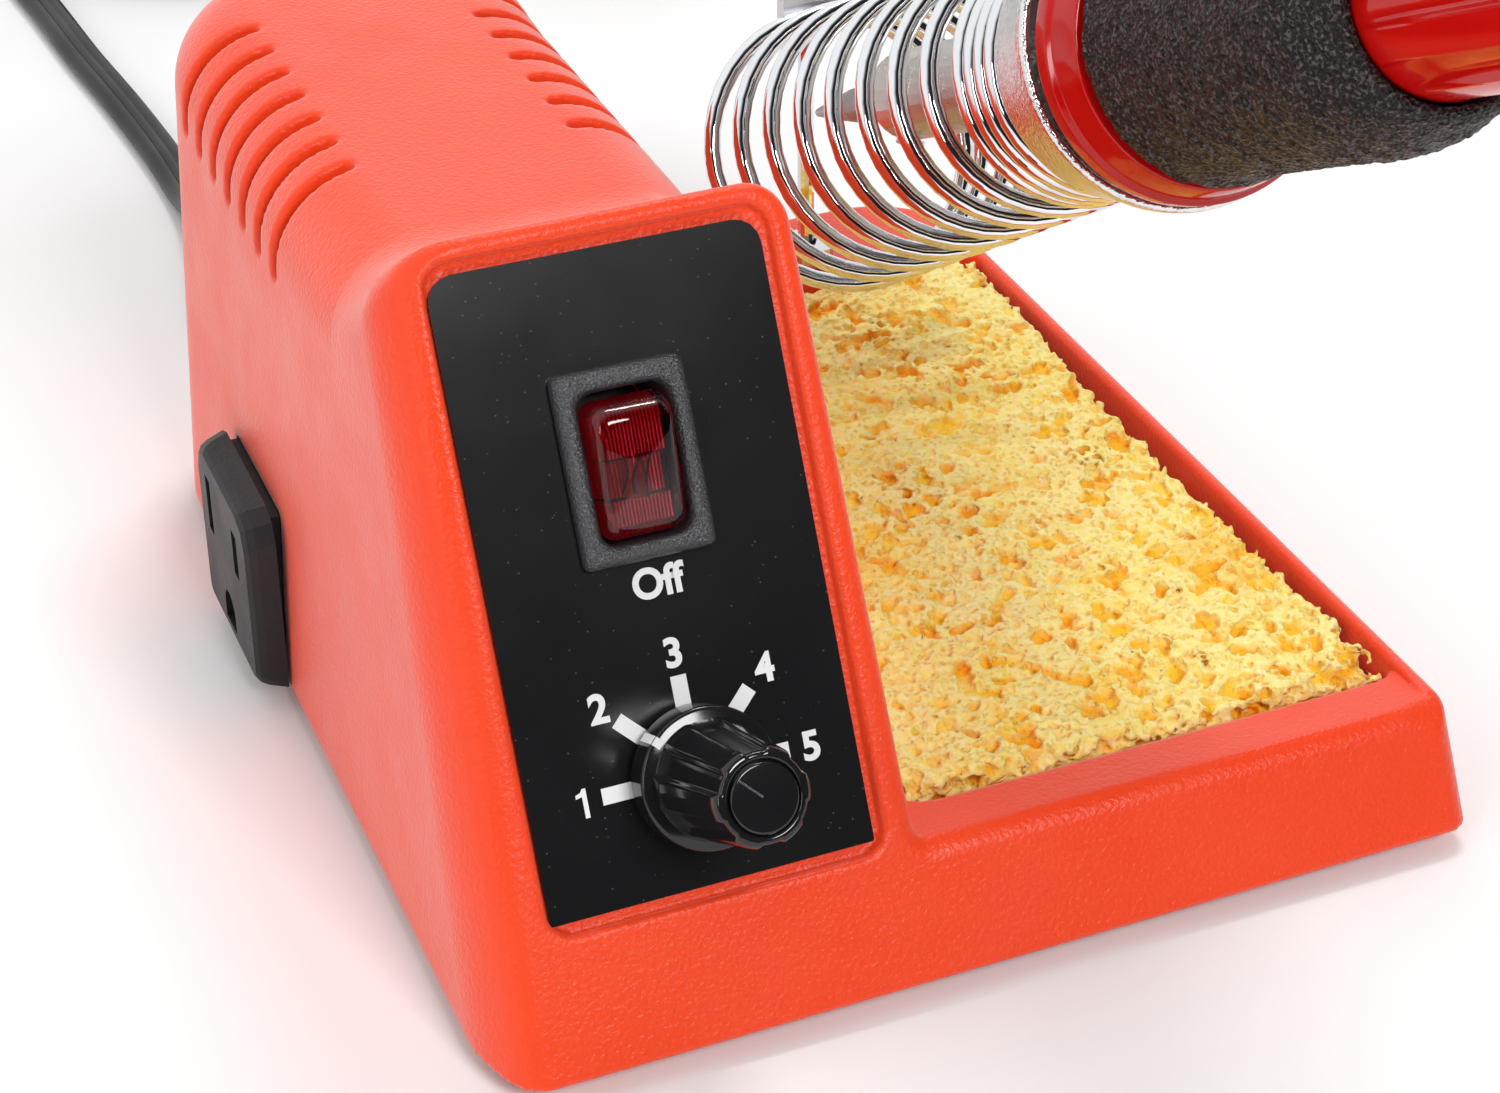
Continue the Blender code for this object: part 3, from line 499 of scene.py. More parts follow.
METAL = {"Metallic": 1.0}
FINISHES = {
    # name, lighter colour, darker colour, lowest and highest roughness, grain, and the shader's own values
    "housing": ("housing_plastic", (0.91, 0.060, 0.008), (0.88, 0.053, 0.007), (0.34, 0.46),
                (1700, 0.16, 0.8),
                {"Specular_IOR_Level": 0.38, "Sheen_Weight": 0.34, "Sheen_Roughness": 0.4}),
    "bezel": ("bezel_plastic", (0.036, 0.038, 0.042), (0.028, 0.030, 0.033), (0.24, 0.34), (3200, 0.26, 1.0),
              {"Specular_IOR_Level": 0.8}),
    "black": ("black_plastic", (0.022, 0.022, 0.024), (0.014, 0.014, 0.015), (0.4, 0.55), (1600, 0.1, 0.7),
              {"Specular_IOR_Level": 0.28}),
    "knob": ("knob_plastic", (0.012, 0.012, 0.013), (0.008, 0.008, 0.009), (0.08, 0.14), (900, 0.02, 0.15),
             {}),
    "lens": ("lens_red", (0.62, 0.03, 0.06), (0.55, 0.02, 0.04), (0.02, 0.04), (500, 0.02, 0.05),
             {"Transmission_Weight": 1.0, "IOR": 1.49}),
    "glass": ("lamp_glass", (0.9, 0.75, 0.7), (0.8, 0.6, 0.5), (0.03, 0.08), (500, 0.02, 0.1),
              {"Transmission_Weight": 0.9}),
    "plated": ("plated_metal", (0.72, 0.72, 0.74), (0.6, 0.6, 0.62), (0.25, 0.4), (900, 0.02, 0.3), METAL),
    "brass": ("brass_contact", (0.82, 0.62, 0.30), (0.7, 0.5, 0.22), (0.25, 0.4), (900, 0.02, 0.3), METAL),
    "board": ("board_green", (0.03, 0.17, 0.07), (0.02, 0.12, 0.05), (0.4, 0.5), (700, 0.03, 0.3), {}),
    "ceramic": ("part_ceramic", (0.74, 0.69, 0.58), (0.62, 0.57, 0.47), (0.6, 0.75), (900, 0.04, 0.5), {}),
    "chrome": ("chrome", (0.84, 0.85, 0.87), (0.76, 0.77, 0.80), (0.02, 0.05), (300, 0.02, 0.1), METAL),
    "funnel": ("funnel_steel", (0.84, 0.83, 0.83), (0.74, 0.73, 0.73), (0.16, 0.30), (1500, 0.22, 0.9),
               METAL),
    "barrel": ("barrel_steel", (0.66, 0.65, 0.63), (0.55, 0.53, 0.50), (0.22, 0.36), (900, 0.02, 0.3), METAL),
    "tip": ("tip_metal", (0.45, 0.44, 0.43), (0.25, 0.23, 0.22), (0.3, 0.55), (900, 0.05, 0.5), METAL),
    "red": ("handle_red", (0.58, 0.005, 0.004), (0.46, 0.003, 0.002), (0.06, 0.12), (400, 0.02, 0.1),
            {"Specular_IOR_Level": 0.4}),
    # The ribs glow faintly red though the lamp is off: painted light inside the lens.
    "rib": ("rib_red_painted_glow", (0.42, 0.008, 0.03), (0.30, 0.005, 0.015), (0.2, 0.3), (800, 0.02, 0.1),
            {"Emission_Strength": 0.05, "Emission_Color": (0.9, 0.02, 0.08, 1)}),
    "dark": ("dark_wire", (0.03, 0.01, 0.01), (0.02, 0.01, 0.01), (0.4, 0.5), (800, 0.02, 0.1), {}),
    "cord": ("cord_pvc", (0.007, 0.007, 0.008), (0.005, 0.005, 0.006), (0.3, 0.42), (1200, 0.03, 0.3),
             {"Specular_IOR_Level": 0.28}),
    "rubber": ("foot_rubber", (0.025, 0.025, 0.025), (0.015, 0.015, 0.015), (0.8, 0.9), (1200, 0.06, 0.5),
               {}),
    "print": ("print_white", (0.86, 0.86, 0.86), (0.8, 0.8, 0.8), (0.4, 0.5), (2500, 0.01, 0.2), {}),
}


def build_materials():
    """Every surface by its short name."""
    made = {"label": label_surface(), "foam": foam_surface(), "sponge": sponge_surface()}
    for key, (name, light, dark, rough, grain, values) in FINISHES.items():
        made[key] = moulded(name, light, dark, rough, grain, **values)
    return made


NODE_SURFACES = {
    "black": ("bottom_cover", "receptacle_body", "triac", "handle_end", "plug_body", "cord_gland"),
    "bezel": ("switch_body",),
    "housing": ("housing",),
    "label": ("front_label",),
    "knob": ("knob", "knob_cap"),
    "lens": ("rocker",),
    "glass": ("neon_lamp",),
    "plated": ("cover_screw_1", "cover_screw_2", "cover_screw_3", "cover_screw_4", "pot_body", "pot_nut",
               "pot_shaft", "heat_sink", "holder_nut", "holder_clip", "tip_screw"),
    "brass": ("switch_terminal_1", "switch_terminal_2", "switch_terminal_3", "contact_neutral", "contact_hot",
              "contact_ground", "choke", "plug_blade_line", "plug_blade_neutral", "plug_ground_pin"),
    "board": ("circuit_board",),
    "ceramic": ("capacitor", "power_resistor", "heater_element"),
    "chrome": ("holder_spring", "holder_post"),
    "funnel": ("holder_funnel",),
    "barrel": ("iron_barrel",),
    "tip": ("iron_tip",),
    "red": ("iron_collar", "handle_core"),
    "foam": ("foam_grip",),
    "sponge": ("sponge",),
    "rubber": ("foot_1", "foot_2", "foot_3", "foot_4"),
    "cord": ("mains_cord", "cord_coil", "cord_tail"),
}


def dress_nodes():
    """Gives every carried-over CAD node its material."""
    for surface, names in NODE_SURFACES.items():
        for name in names:
            obj = NODES[name]
            obj.data.materials.clear()
            obj.data.materials.append(SURFACES[surface])


# ---------------------------------------------------------------- camera, floor and light

def camera():
    """The camera stands in front, left and above, and looks down and to the right with a long lens."""
    yaw, pitch, roll = (math.radians(a) for a in CAMERA_TURN)
    forward = Vector((math.sin(yaw) * math.cos(pitch), math.cos(yaw) * math.cos(pitch), -math.sin(pitch)))
    level = Vector((math.cos(yaw), -math.sin(yaw), 0))
    down = forward.cross(level)
    right = math.cos(roll) * level + math.sin(roll) * down
    down = -math.sin(roll) * level + math.cos(roll) * down
    data = bpy.data.cameras.new("camera")
    data.sensor_width = 36.0
    data.lens = CAMERA_LENS
    data.shift_x, data.shift_y = CAMERA_SHIFT
    data.clip_start = 0.01
    obj = bpy.data.objects.new("camera", data)
    turn = Matrix((right, -down, -forward)).transposed().to_4x4()
    obj.matrix_world = Matrix.Translation(to_world(CAMERA_AT)) @ turn
    bpy.context.scene.collection.objects.link(obj)
    bpy.context.scene.camera = obj


def area_light(name, at, target, size, power):
    """A white rectangle of light, in metres and watts, that faces its target."""
    data = bpy.data.lights.new(name, "AREA")
    data.shape = "RECTANGLE"
    data.size, data.size_y = size
    data.energy = power
    obj = bpy.data.objects.new(name, data)
    obj.location = at
    obj.rotation_euler = (Vector(target) - Vector(at)).to_track_quat("-Z", "Y").to_euler()
    bpy.context.scene.collection.objects.link(obj)


def studio():
    """A pale floor, a soft key light at the front, and two strips, at the left and above the back."""
    bpy.context.scene.view_settings.view_transform = "Standard"
    bm = bmesh.new()
    bmesh.ops.create_grid(bm, x_segments=1, y_segments=1, size=6.0)
    mesh = bpy.data.meshes.new("floor")
    bm.to_mesh(mesh)
    bm.free()
    floor = bpy.data.objects.new("floor", mesh)
    bpy.context.scene.collection.objects.link(floor)
    n = Nodes("floor_white")
    n.colour(n.ramp(n.noise(3, 2), (0.3, 0.92), (0.7, 0.94)))
    n.set(Roughness=0.6, Specular_IOR_Level=0.2)
    mesh.materials.append(n.material)
    backdrop()
    area_light("key_top", (0.1, -0.9, 0.8), (0, 0.03, 0.03), (0.4, 0.3), 8.0)
    area_light("strip_left", (-0.7, -0.5, 0.45), (0, 0, 0.05), (0.08, 0.5), 1.2)
    area_light("strip_above", (0.3, 0.42, 1.0), (0, 0, 0.06), (0.32, 0.12), 3.0)


def backdrop():
    """A white sweep behind and to the left, which leaves the front of the room dim."""
    world = bpy.data.worlds.new("studio")
    world.use_nodes = True
    tree = world.node_tree
    place = tree.nodes.new("ShaderNodeTexCoord")
    towards = tree.nodes.new("ShaderNodeVectorMath")
    towards.operation = "DOT_PRODUCT"
    towards.inputs[1].default_value = (-0.42, 0.88, 0.22)
    tree.links.new(place.outputs["Generated"], towards.inputs[0])
    bright = tree.nodes.new("ShaderNodeMapRange")
    bright.interpolation_type = "SMOOTHSTEP"
    bright.inputs["From Min"].default_value = -0.15
    bright.inputs["From Max"].default_value = 0.4
    bright.inputs["To Min"].default_value = 0.02
    bright.inputs["To Max"].default_value = 1.06
    tree.links.new(towards.outputs["Value"], bright.inputs["Value"])
    tree.links.new(bright.outputs["Result"], tree.nodes["Background"].inputs["Strength"])
    tree.nodes["Background"].inputs["Color"].default_value = (1, 1, 1, 1)
    bpy.context.scene.world = world


# ---------------------------------------------------------------- mains cord

def cord_route():
    """The lead from the gland, the coil's two layers, and the tail to the plug."""
    cx, cy = COIL_CENTRE
    left = cx - COIL_OUT_R
    route = [(-38, GLAND_END_Y + 0.3, 17.0), (-38, GLAND_END_Y + 8.3, 16.2), (-38, 193, 12.4),
             (-38.2, 203, 6.2), (-38.4, 213, 1.6), (-38.6, 224, CORD_Z), (-39, 240, CORD_Z),
             (-40.5, 262, CORD_Z), (-42.6, 284, CORD_Z), (left + 2.2, 306, CORD_Z),
             (left + 0.4, cy - 23.5, CORD_Z)]
    layer = CORD_THICK + 0.2
    for i in range(int(2 * COIL_TURNS * COIL_STEPS) + 1):
        turn = i / COIL_STEPS
        inward = turn if turn < COIL_TURNS else 2 * COIL_TURNS - turn
        rise = min(max((turn - COIL_TURNS + 0.1) / 0.2, 0), 1)
        rise = rise * rise * (3 - 2 * rise)
        a = math.pi - 2 * math.pi * turn
        r = COIL_OUT_R - COIL_PITCH * inward
        route.append((cx + r * math.cos(a), cy + r * math.sin(a), CORD_Z + layer * rise))
    top = cy + COIL_OUT_R
    route += [(cx + 22.8, top - 0.9, CORD_Z + 1.6), (cx + 34, top - 3, CORD_Z), (cx + 48, top - 9.5, CORD_Z),
              (PLUG_X - 6.5, top - 20, CORD_Z), (PLUG_X - 0.8, top - 33, 0.4),
              (PLUG_X, PLUG_REAR_Y + 0.3, 3.5)]
    return route


def cord():
    """A flat lead of three joined cores."""
    points = smooth_route(cord_route(), 2.0)
    outline = []
    core_r = CORD_THICK / 2
    offset = CORD_WIDTH / 2 - core_r
    for centre, start, end in ((offset, -125, 125), (0, 62, 118), (-offset, 55, 305), (0, 242, 298)):
        outline += arc((centre, 0), core_r, start, end, 12 if abs(end - start) > 90 else 4)
    outline = outline[::-1]
    mesh = finished(sweep(points, outline, up=(0, 0, 1)), "cord_lead")
    obj = add("cord_lead", mesh, SURFACES["cord"], sharp=60,
              replaces=("mains_cord", "cord_coil", "cord_tail"))


# ---------------------------------------------------------------- housing

def tower_field(x, y, z):
    """The tower's outside but for its front plane."""
    left = (-HALF_WIDTH + LEFT_LEAN * z - x) / math.hypot(1, LEFT_LEAN)
    behind = (y - z * SLOPE) / (1 - z * (SLOPE + REAR_LEAN) / REAR_Y)
    corner = np.hypot(np.minimum(-left - FRONT_CORNER, 0), behind - FRONT_CORNER_Y) - FRONT_CORNER
    left = np.where(behind < FRONT_CORNER_Y, corner, left)
    sides = round_and(left, y - (REAR_Y - REAR_LEAN * z), REAR_CORNER)
    sides = round_and(sides, x - TOWER_RIGHT + RIGHT_LEAN * z, REAR_RIGHT_CORNER)
    rim = RIM_FILLET - np.hypot(y - RIM_BACK_Y, z - (TOWER_TOP + RIM_FILLET))
    top = np.where(y < RIM_BACK_Y, rim, z - TOWER_TOP + 0 * y)
    # The top's edges are rounded by 5 mm at the front, 11 mm along the sides and 8 mm at the back.
    edge = 5 + 6 * np.clip((behind - 4) / 30, 0, 1) - 3 * np.clip((y - 120) / 24, 0, 1)
    return round_and(sides, top, edge)


def vent_field(x, y, z):
    """The slots that wrap over the tower's two long top edges."""
    k = np.clip(np.round((y - VENT_FIRST_Y) / VENT_PITCH), 0, VENT_COUNT - 1)
    across = np.abs(y - VENT_FIRST_Y - VENT_PITCH * k) - VENT_HALF_WIDTH
    left_end, right_start = -46.7, -20.5
    reach = np.minimum(np.maximum(x - left_end, -70 - x), np.maximum(right_start - x, x + 2))
    return round_and(across + 0 * x, np.maximum(reach, VENT_LOW_Z - z), VENT_HALF_WIDTH)


def cavity_field(x, y, z, h, tower, base):
    """The hollows in the tower, under the tray, behind the front lip and under the rear ledge."""
    front_wall = 3.885
    inside = np.maximum(tower + WALL, h + front_wall)
    under = np.maximum(np.maximum(base + WALL, np.maximum(-12 - x, 8 - y)), z - 2.0)
    lip = np.maximum(np.maximum(-12 - x, x - 57.5), np.maximum(y - 12.5, z - 10.6))
    lip = np.maximum(lip, (3.6 - y + z * SLOPE) * COS_T)
    ledge = np.maximum(box_field(x, y, (-6, 133.5), (56, 149.6), 1.0), z - 11.0)
    ledge = np.maximum(ledge, base + 2.2)
    return np.minimum(np.minimum(np.minimum(inside, under), lip), ledge)


def with_posts(shell, x, y, z):
    """The shell with a post for each cover screw, bored from below."""
    for at_x, at_y in SCREWS:
        off = np.hypot(x - at_x, y - at_y)
        shell = np.minimum(shell, np.maximum(off - 4.0, np.maximum(2.2 - z, z - 16)))
        shell = np.maximum(shell, -np.maximum(off - 1.6, z - 13))
    return shell


def holes_in_housing(x, y, z, u, v, h):
    """The openings for the switch, the pot, the outlet, the strain relief and the holder's post."""
    switch = np.maximum(np.abs(u - SWITCH_AT[0]) - 6.4, np.abs(v - SWITCH_AT[1]) - 9.4)
    pot = np.hypot(u - POT_AT[0], v - POT_AT[1]) - 3.9
    outlet = np.maximum(np.abs(y - 94.5) - 10.3, np.abs(z - 12.975) - 11.325)
    return (
        np.maximum(switch, np.abs(h) - 9),
        np.maximum(pot, np.abs(h) - 9),
        np.maximum(outlet, x + 50),
        np.maximum(np.hypot(x + 38, z - 17) - 5.1, 140 - y),
        np.hypot(x - 34, y - 138) - 1.6 + 0 * z,
    )


def housing_field(x, y, z):
    """The whole moulding. u, v and h are the front panel's own axes: across, up its slope and out of it."""
    u, v, h = x, y * SIN_T + z * COS_T, z * SIN_T - y * COS_T
    tower = tower_field(x, y, z)
    base = round_and(round_and(x - HALF_WIDTH, y - BASE_REAR_Y, BASE_CORNER), z - BASE_TOP, 1.8)
    base = np.maximum(base, -30 - x + 0.8 * np.clip((y - 120) / 30, 0, 1))
    shell = round_or(tower, base, 1.5)
    shell = round_and(shell, h, 1.9 + 1.3 * np.clip((x - 54) / 4, 0, 1))
    shell = np.maximum(shell, -cavity_field(x, y, z, h, tower, base))
    shell = with_posts(shell, x, y, z)
    well_low, well_high, well_floor = WELL
    well = np.maximum(box_field(x, y, well_low, well_high, 3.0), well_floor - z)
    shell = round_cut(shell, well, 0.8)
    slope_in = (13.75 - z) * 0.991 - (y - 7.2) * 0.137
    slope_in = np.maximum(np.maximum(slope_in, 7.2 - y), np.maximum(y - 17, np.maximum(-8.2 - x, x - 58.0)))
    shell = np.maximum(shell, -slope_in)
    recess_low, recess_high, recess_depth = RECESS
    recess = np.maximum(box_field(u, v, recess_low, recess_high, 3.0), -recess_depth - h)
    shell = round_cut(shell, recess, 0.45)
    shell = round_cut(shell, vent_field(x, y, z), 0.5)
    for hole in holes_in_housing(x, y, z, u, v, h):
        shell = np.maximum(shell, -hole)
    return np.maximum(shell, -z)


def housing():
    """The moulding's field as a mesh, made in slices to keep the memory small."""
    step = 0.5
    low = (-62.0, -2.0, -1.0)
    x, y, z = grid_of(low, (62.0, 154.5, 84.0), step)
    field = np.concatenate([housing_field(part, y, z).astype(np.float32) for part in np.array_split(x, 8)])
    mesh = net_mesh("housing_shell", field, low, step)
    mesh = thinned(mesh, 0.3)
    add("housing_shell", mesh, SURFACES["housing"], replaces=("housing",))


# ---------------------------------------------------------------- front panel

def flat_mesh(name, outlines, low, high, matrix):
    """Flat plates from their outlines, between two heights."""
    bm = bmesh.new()
    for outline in outlines:
        loft([[(x, y, z) for x, y in outline] for z in (low, high)], bm)
    return finished(bm, name, matrix)


def turned_outline(outline, angle, at):
    """The outline turned about its own origin and moved to a place."""
    c, s = math.cos(angle), math.sin(angle)
    return [(at[0] + c * x - s * y, at[1] + s * x + c * y) for x, y in outline]


CAPITAL_PART = 0.73  # a capital's height as a part of the font's size


def text_piece(name, text, centre, height, wide):
    """A word in the panel's print, as tall as its capitals."""
    data = bpy.data.curves.new(name, "FONT")
    data.body = text
    data.size = height / CAPITAL_PART
    data.align_x, data.align_y = "CENTER", "CENTER"
    data.extrude = 0.02
    data.offset = 0.045 * height
    data.resolution_u = 6
    obj = bpy.data.objects.new(name + "_text", data)
    bpy.context.scene.collection.objects.link(obj)
    graph = bpy.context.evaluated_depsgraph_get()
    mesh = bpy.data.meshes.new_from_object(obj.evaluated_get(graph))
    bpy.data.objects.remove(obj)
    bm = bmesh.new()
    bm.from_mesh(mesh)
    xs = [vert.co.x for vert in bm.verts]
    ys = [vert.co.y for vert in bm.verts]
    middle = Vector(((min(xs) + max(xs)) / 2, (min(ys) + max(ys)) / 2, 0))
    bmesh.ops.translate(bm, verts=bm.verts, vec=-middle)
    bmesh.ops.scale(bm, verts=bm.verts, vec=(wide, 1, 1))
    place = PANEL @ Matrix.Translation((*centre, LABEL_TOP + 0.03))
    add(name, finished(bm, name, place), SURFACES["print"], smooth=False)


def print_on_label():
    """The dial's marks and numbers, and the word under the switch."""
    tick = [(-0.9, 7.36), (0.9, 7.36), (0.9, 10.8), (-0.9, 10.8)]
    ticks = [turned_outline(tick, math.radians(a), POT_AT) for a in (90, 45, 0, -45, -90)]
    mesh = flat_mesh("dial_ticks", ticks, LABEL_TOP + 0.01, LABEL_TOP + 0.05, PANEL)
    add("dial_ticks", mesh, SURFACES["print"], smooth=False)
    numbers = ((-45.1, 29.2), (-41.4, 38.7), (-32.1, 42.7), (-22.3, 38.8), (-18.7, 29.2))
    one = [(0.1, -1.6), (0.62, -1.6), (0.62, 1.6), (0.22, 1.6), (-0.02, 1.22), (-0.6, 1.02), (-0.6, 0.62),
           (0.1, 0.76)]
    one = turned_outline(one, 0, numbers[0])
    add("dial_number_1", flat_mesh("dial_number_1", [one], LABEL_TOP + 0.01, LABEL_TOP + 0.05, PANEL),
        SURFACES["print"], smooth=False)
    for i, centre in enumerate(numbers[1:], 2):
        text_piece(f"dial_number_{i}", str(i), centre, 3.2, 1.0)
    text_piece("off_mark", "Off", (-32.1, 50.55), 3.3, 0.96)


def bezel():
    """The switch's frame, rounded over, with its sunk inner edge."""
    rings = []
    back = LABEL_TOP + 0.3
    for h, e in ((back, 0), (back + 0.7, 0), (back + 1.2, 0.12), (back + 1.6, 0.4), (back + 1.85, 0.8),
                 (back + 1.9, 1.1), (back + 1.9, 1.6), (back + 1.8, 1.9), (back + 1.2, 2.3),
                 (back - 9.0, 2.3)):
        radius = 0.9 if e < 1.5 else 1.9
        outline = rounded(-7.5 + e, -10.5 + e, 7.5 - e, 10.5 - e, radius, 5)
        if e >= 2.3:
            outline = rounded(-5.2, -8.35, 5.2, 8.15, radius, 5)
        rings.append([(x, y, h) for x, y in outline])
    mesh = finished(loft(rings, ends=False), "switch_frame", SWITCH_PLACE)
    add("switch_frame", mesh, SURFACES["bezel"], sharp=50, replaces=("switch_body",))
    well = [[(x, y, h) for x, y in rounded(-5.25, -8.4, 5.25, 8.2, 1.9, 5)] for h in (-11, -10.8)]
    add("switch_well", finished(loft(well), "switch_well", SWITCH_PLACE), SURFACES["black"], smooth=False)


def rocker():
    """The clear red lens, its lower end pressed in and its upper end a rounded hood, with the lamp inside."""
    move = SWITCH_PLACE @ Matrix.Translation((0, -0.1, -1.0))
    rings = []
    for h, low in ((-5.5, -5.4), (-2.0, -7.0)):
        rings.append([(x, v, h) for x, v in rounded(-4.5, low, 4.5, 6.2, 1.2, 8)])
    for k in range(13):
        t = math.radians(90 * k / 12)
        inset, rise = 1 - math.cos(t), math.sin(t)
        outline = rounded(-4.9 + 1.3 * inset, -7.7 + 1.2 * inset, 4.9 - 1.3 * inset, 7.35 - 3.1 * inset,
                          1.7 + 0.2 * inset, 8)
        rings.append([(x, v, 0.6 + rise * (1.95 + 0.22 * (v + 6.5))) for x, v in outline])
    for part in (0.85, 0.6, 0.3):
        centre = Vector((0, -1.1))
        ring = [centre.lerp(Vector(p), part) for p in outline]
        rings.append([(p.x, p.y, 0.6 + 1.95 + 0.22 * (p.y + 6.5) + 0.12 * (1 - part ** 2)) for p in ring])
    mesh = finished(loft(rings), "rocker_lens", move)
    add("rocker_lens", mesh, SURFACES["lens"], body="rocker", replaces=("rocker",), sharp=70)
    # Ribs inside the lens, with a faint painted glow.
    ribs = bmesh.new()
    for v0, v1, height in ((-6.2, -3.4, 0.7), (-3.0, 1.0, -1.6), (1.2, 5.4, 1.9)):
        for k in range(17):
            x = -3.2 + 0.4 * k
            outline = [(x - 0.17, -4.5), (x + 0.17, -4.5), (x + 0.08, height), (x - 0.08, height)]
            loft([[(a, v, b) for a, b in outline] for v in (v0, v1)], ribs)
    add("lens_ribs", finished(ribs, "lens_ribs", move), SURFACES["rib"], body="rocker", smooth=False)
    bulb = rounded_profile([(0, -3.6), (1.3, -3.6), (1.3, 3.0), (0, 4.2)], 0.8, closed=False)
    lay = move @ Matrix.Translation((0, 0, -0.4)) @ Matrix.Rotation(math.radians(-90), 4, "X")
    add("neon_bulb", finished(turned(bulb, 24), "neon_bulb", lay), SURFACES["glass"], body="rocker",
        replaces=("neon_lamp",))
    wires = bmesh.new()
    ring = [(0.16 * math.cos(a), 0.16 * math.sin(a)) for a in (k * math.pi / 4 for k in range(8))]
    for route in (((-0.6, -3.0, 0.9), (-0.5, -1.0, 1.2), (0.4, 0.8, 1.5), (0.3, 2.6, 1.2)),
                  ((0.8, -3.6, 0.8), (0.9, -1.5, 1.3), (1.5, 0.2, 1.0), (2.2, 1.6, 0.7)),
                  ((-1.8, -2.6, 0.6), (-1.0, -0.6, 1.2), (-1.2, 1.2, 0.9), (-2.2, 2.2, 0.5))):
        sweep(smooth_route(route, 0.3), ring, bm=wires)
    add("lamp_wires", finished(wires, "lamp_wires", move), SURFACES["dark"], body="rocker")


def knob():
    """A drum skirt and a tapering grip with six fingers between hollow flutes, and a sunk end."""
    levels = rounded_profile([(6.9, 0.5), (7.8, 0.5), (7.8, 4.5), (6.35, 4.75)], 0.55, 4, closed=False)
    rings = []
    segments = 192

    def ring(radius, height, depth):
        """One level of the knob, hollowed to a depth between its six fingers."""
        points = []
        for i in range(segments):
            a = 2 * math.pi * i / segments
            finger = 0.5 + 0.5 * math.cos(6 * a)
            wave = min(max((finger - 0.28) / 0.3, 0), 1)
            wave = wave * wave * (3 - 2 * wave)
            r = radius - depth * (1 - wave)
            points.append((r * math.cos(a), r * math.sin(a), height))
        return points

    for radius, height in levels:
        rings.append(ring(radius, height, 0))
    for radius, height, depth in ((6.6, 4.8, 0.2), (6.62, 5.3, 0.5), (6.5, 6.5, 0.62), (5.95, 12.0, 0.62),
                                  (5.4, 19.4, 0.6), (5.3, 20.2, 0.5), (5.1, 20.75, 0.3), (4.75, 21.0, 0.12),
                                  (4.25, 21.05, 0), (4.0, 20.95, 0), (3.9, 20.75, 0), (3.9, 20.4, 0)):
        rings.append(ring(radius, height, depth))
    mesh = finished(loft(rings), "knob_grip", KNOB_PLACE)
    add("knob_grip", mesh, SURFACES["knob"], body="knob", replaces=("knob",), sharp=50)
    turn = KNOB_PLACE @ Matrix.Rotation(math.radians(45), 4, "Z")
    cap = rounded_profile([(0, 20.5), (3.72, 20.5), (3.72, 21.3), (0, 21.3)], 0.3, 3, closed=False)
    add("knob_end", finished(turned(cap, 96), "knob_end", turn), SURFACES["knob"], body="knob",
        replaces=("knob_cap",), sharp=50)
    for name, surface, half, start, end, low, high in (
            ("knob_end_line", "bezel", 0.12, 0.3, 3.4, 21.28, 21.33),
            ("knob_pointer", "print", 0.5, 6.75, 7.72, 4.3, 4.72),
            ("knob_pointer_side", "print", 0.5, 7.6, 7.86, 0.9, 4.2)):
        outline = [(-half, start), (half, start), (half, end), (-half, end)]
        add(name, flat_mesh(name, [outline], low, high, turn), SURFACES[surface], body="knob", smooth=False)


# ---------------------------------------------------------------- sponge

def noise_grid(shape, step, size, seed):
    """Smooth random values on a grid, changing over about the given size."""
    dice = np.random.default_rng(seed)
    coarse = [max(int(n * step / size) + 3, 3) for n in shape]
    values = dice.random(coarse).astype(np.float32)
    for axis, (count, n) in enumerate(zip(shape, coarse)):
        at = np.arange(count) * step / size
        low = at.astype(int)
        part = (at - low).astype(np.float32)
        part = part * part * (3 - 2 * part)
        form = [1, 1, 1]
        form[axis] = -1
        part = part.reshape(form)
        values = np.take(values, low, axis) * (1 - part) + np.take(values, low + 1, axis) * part
    return values


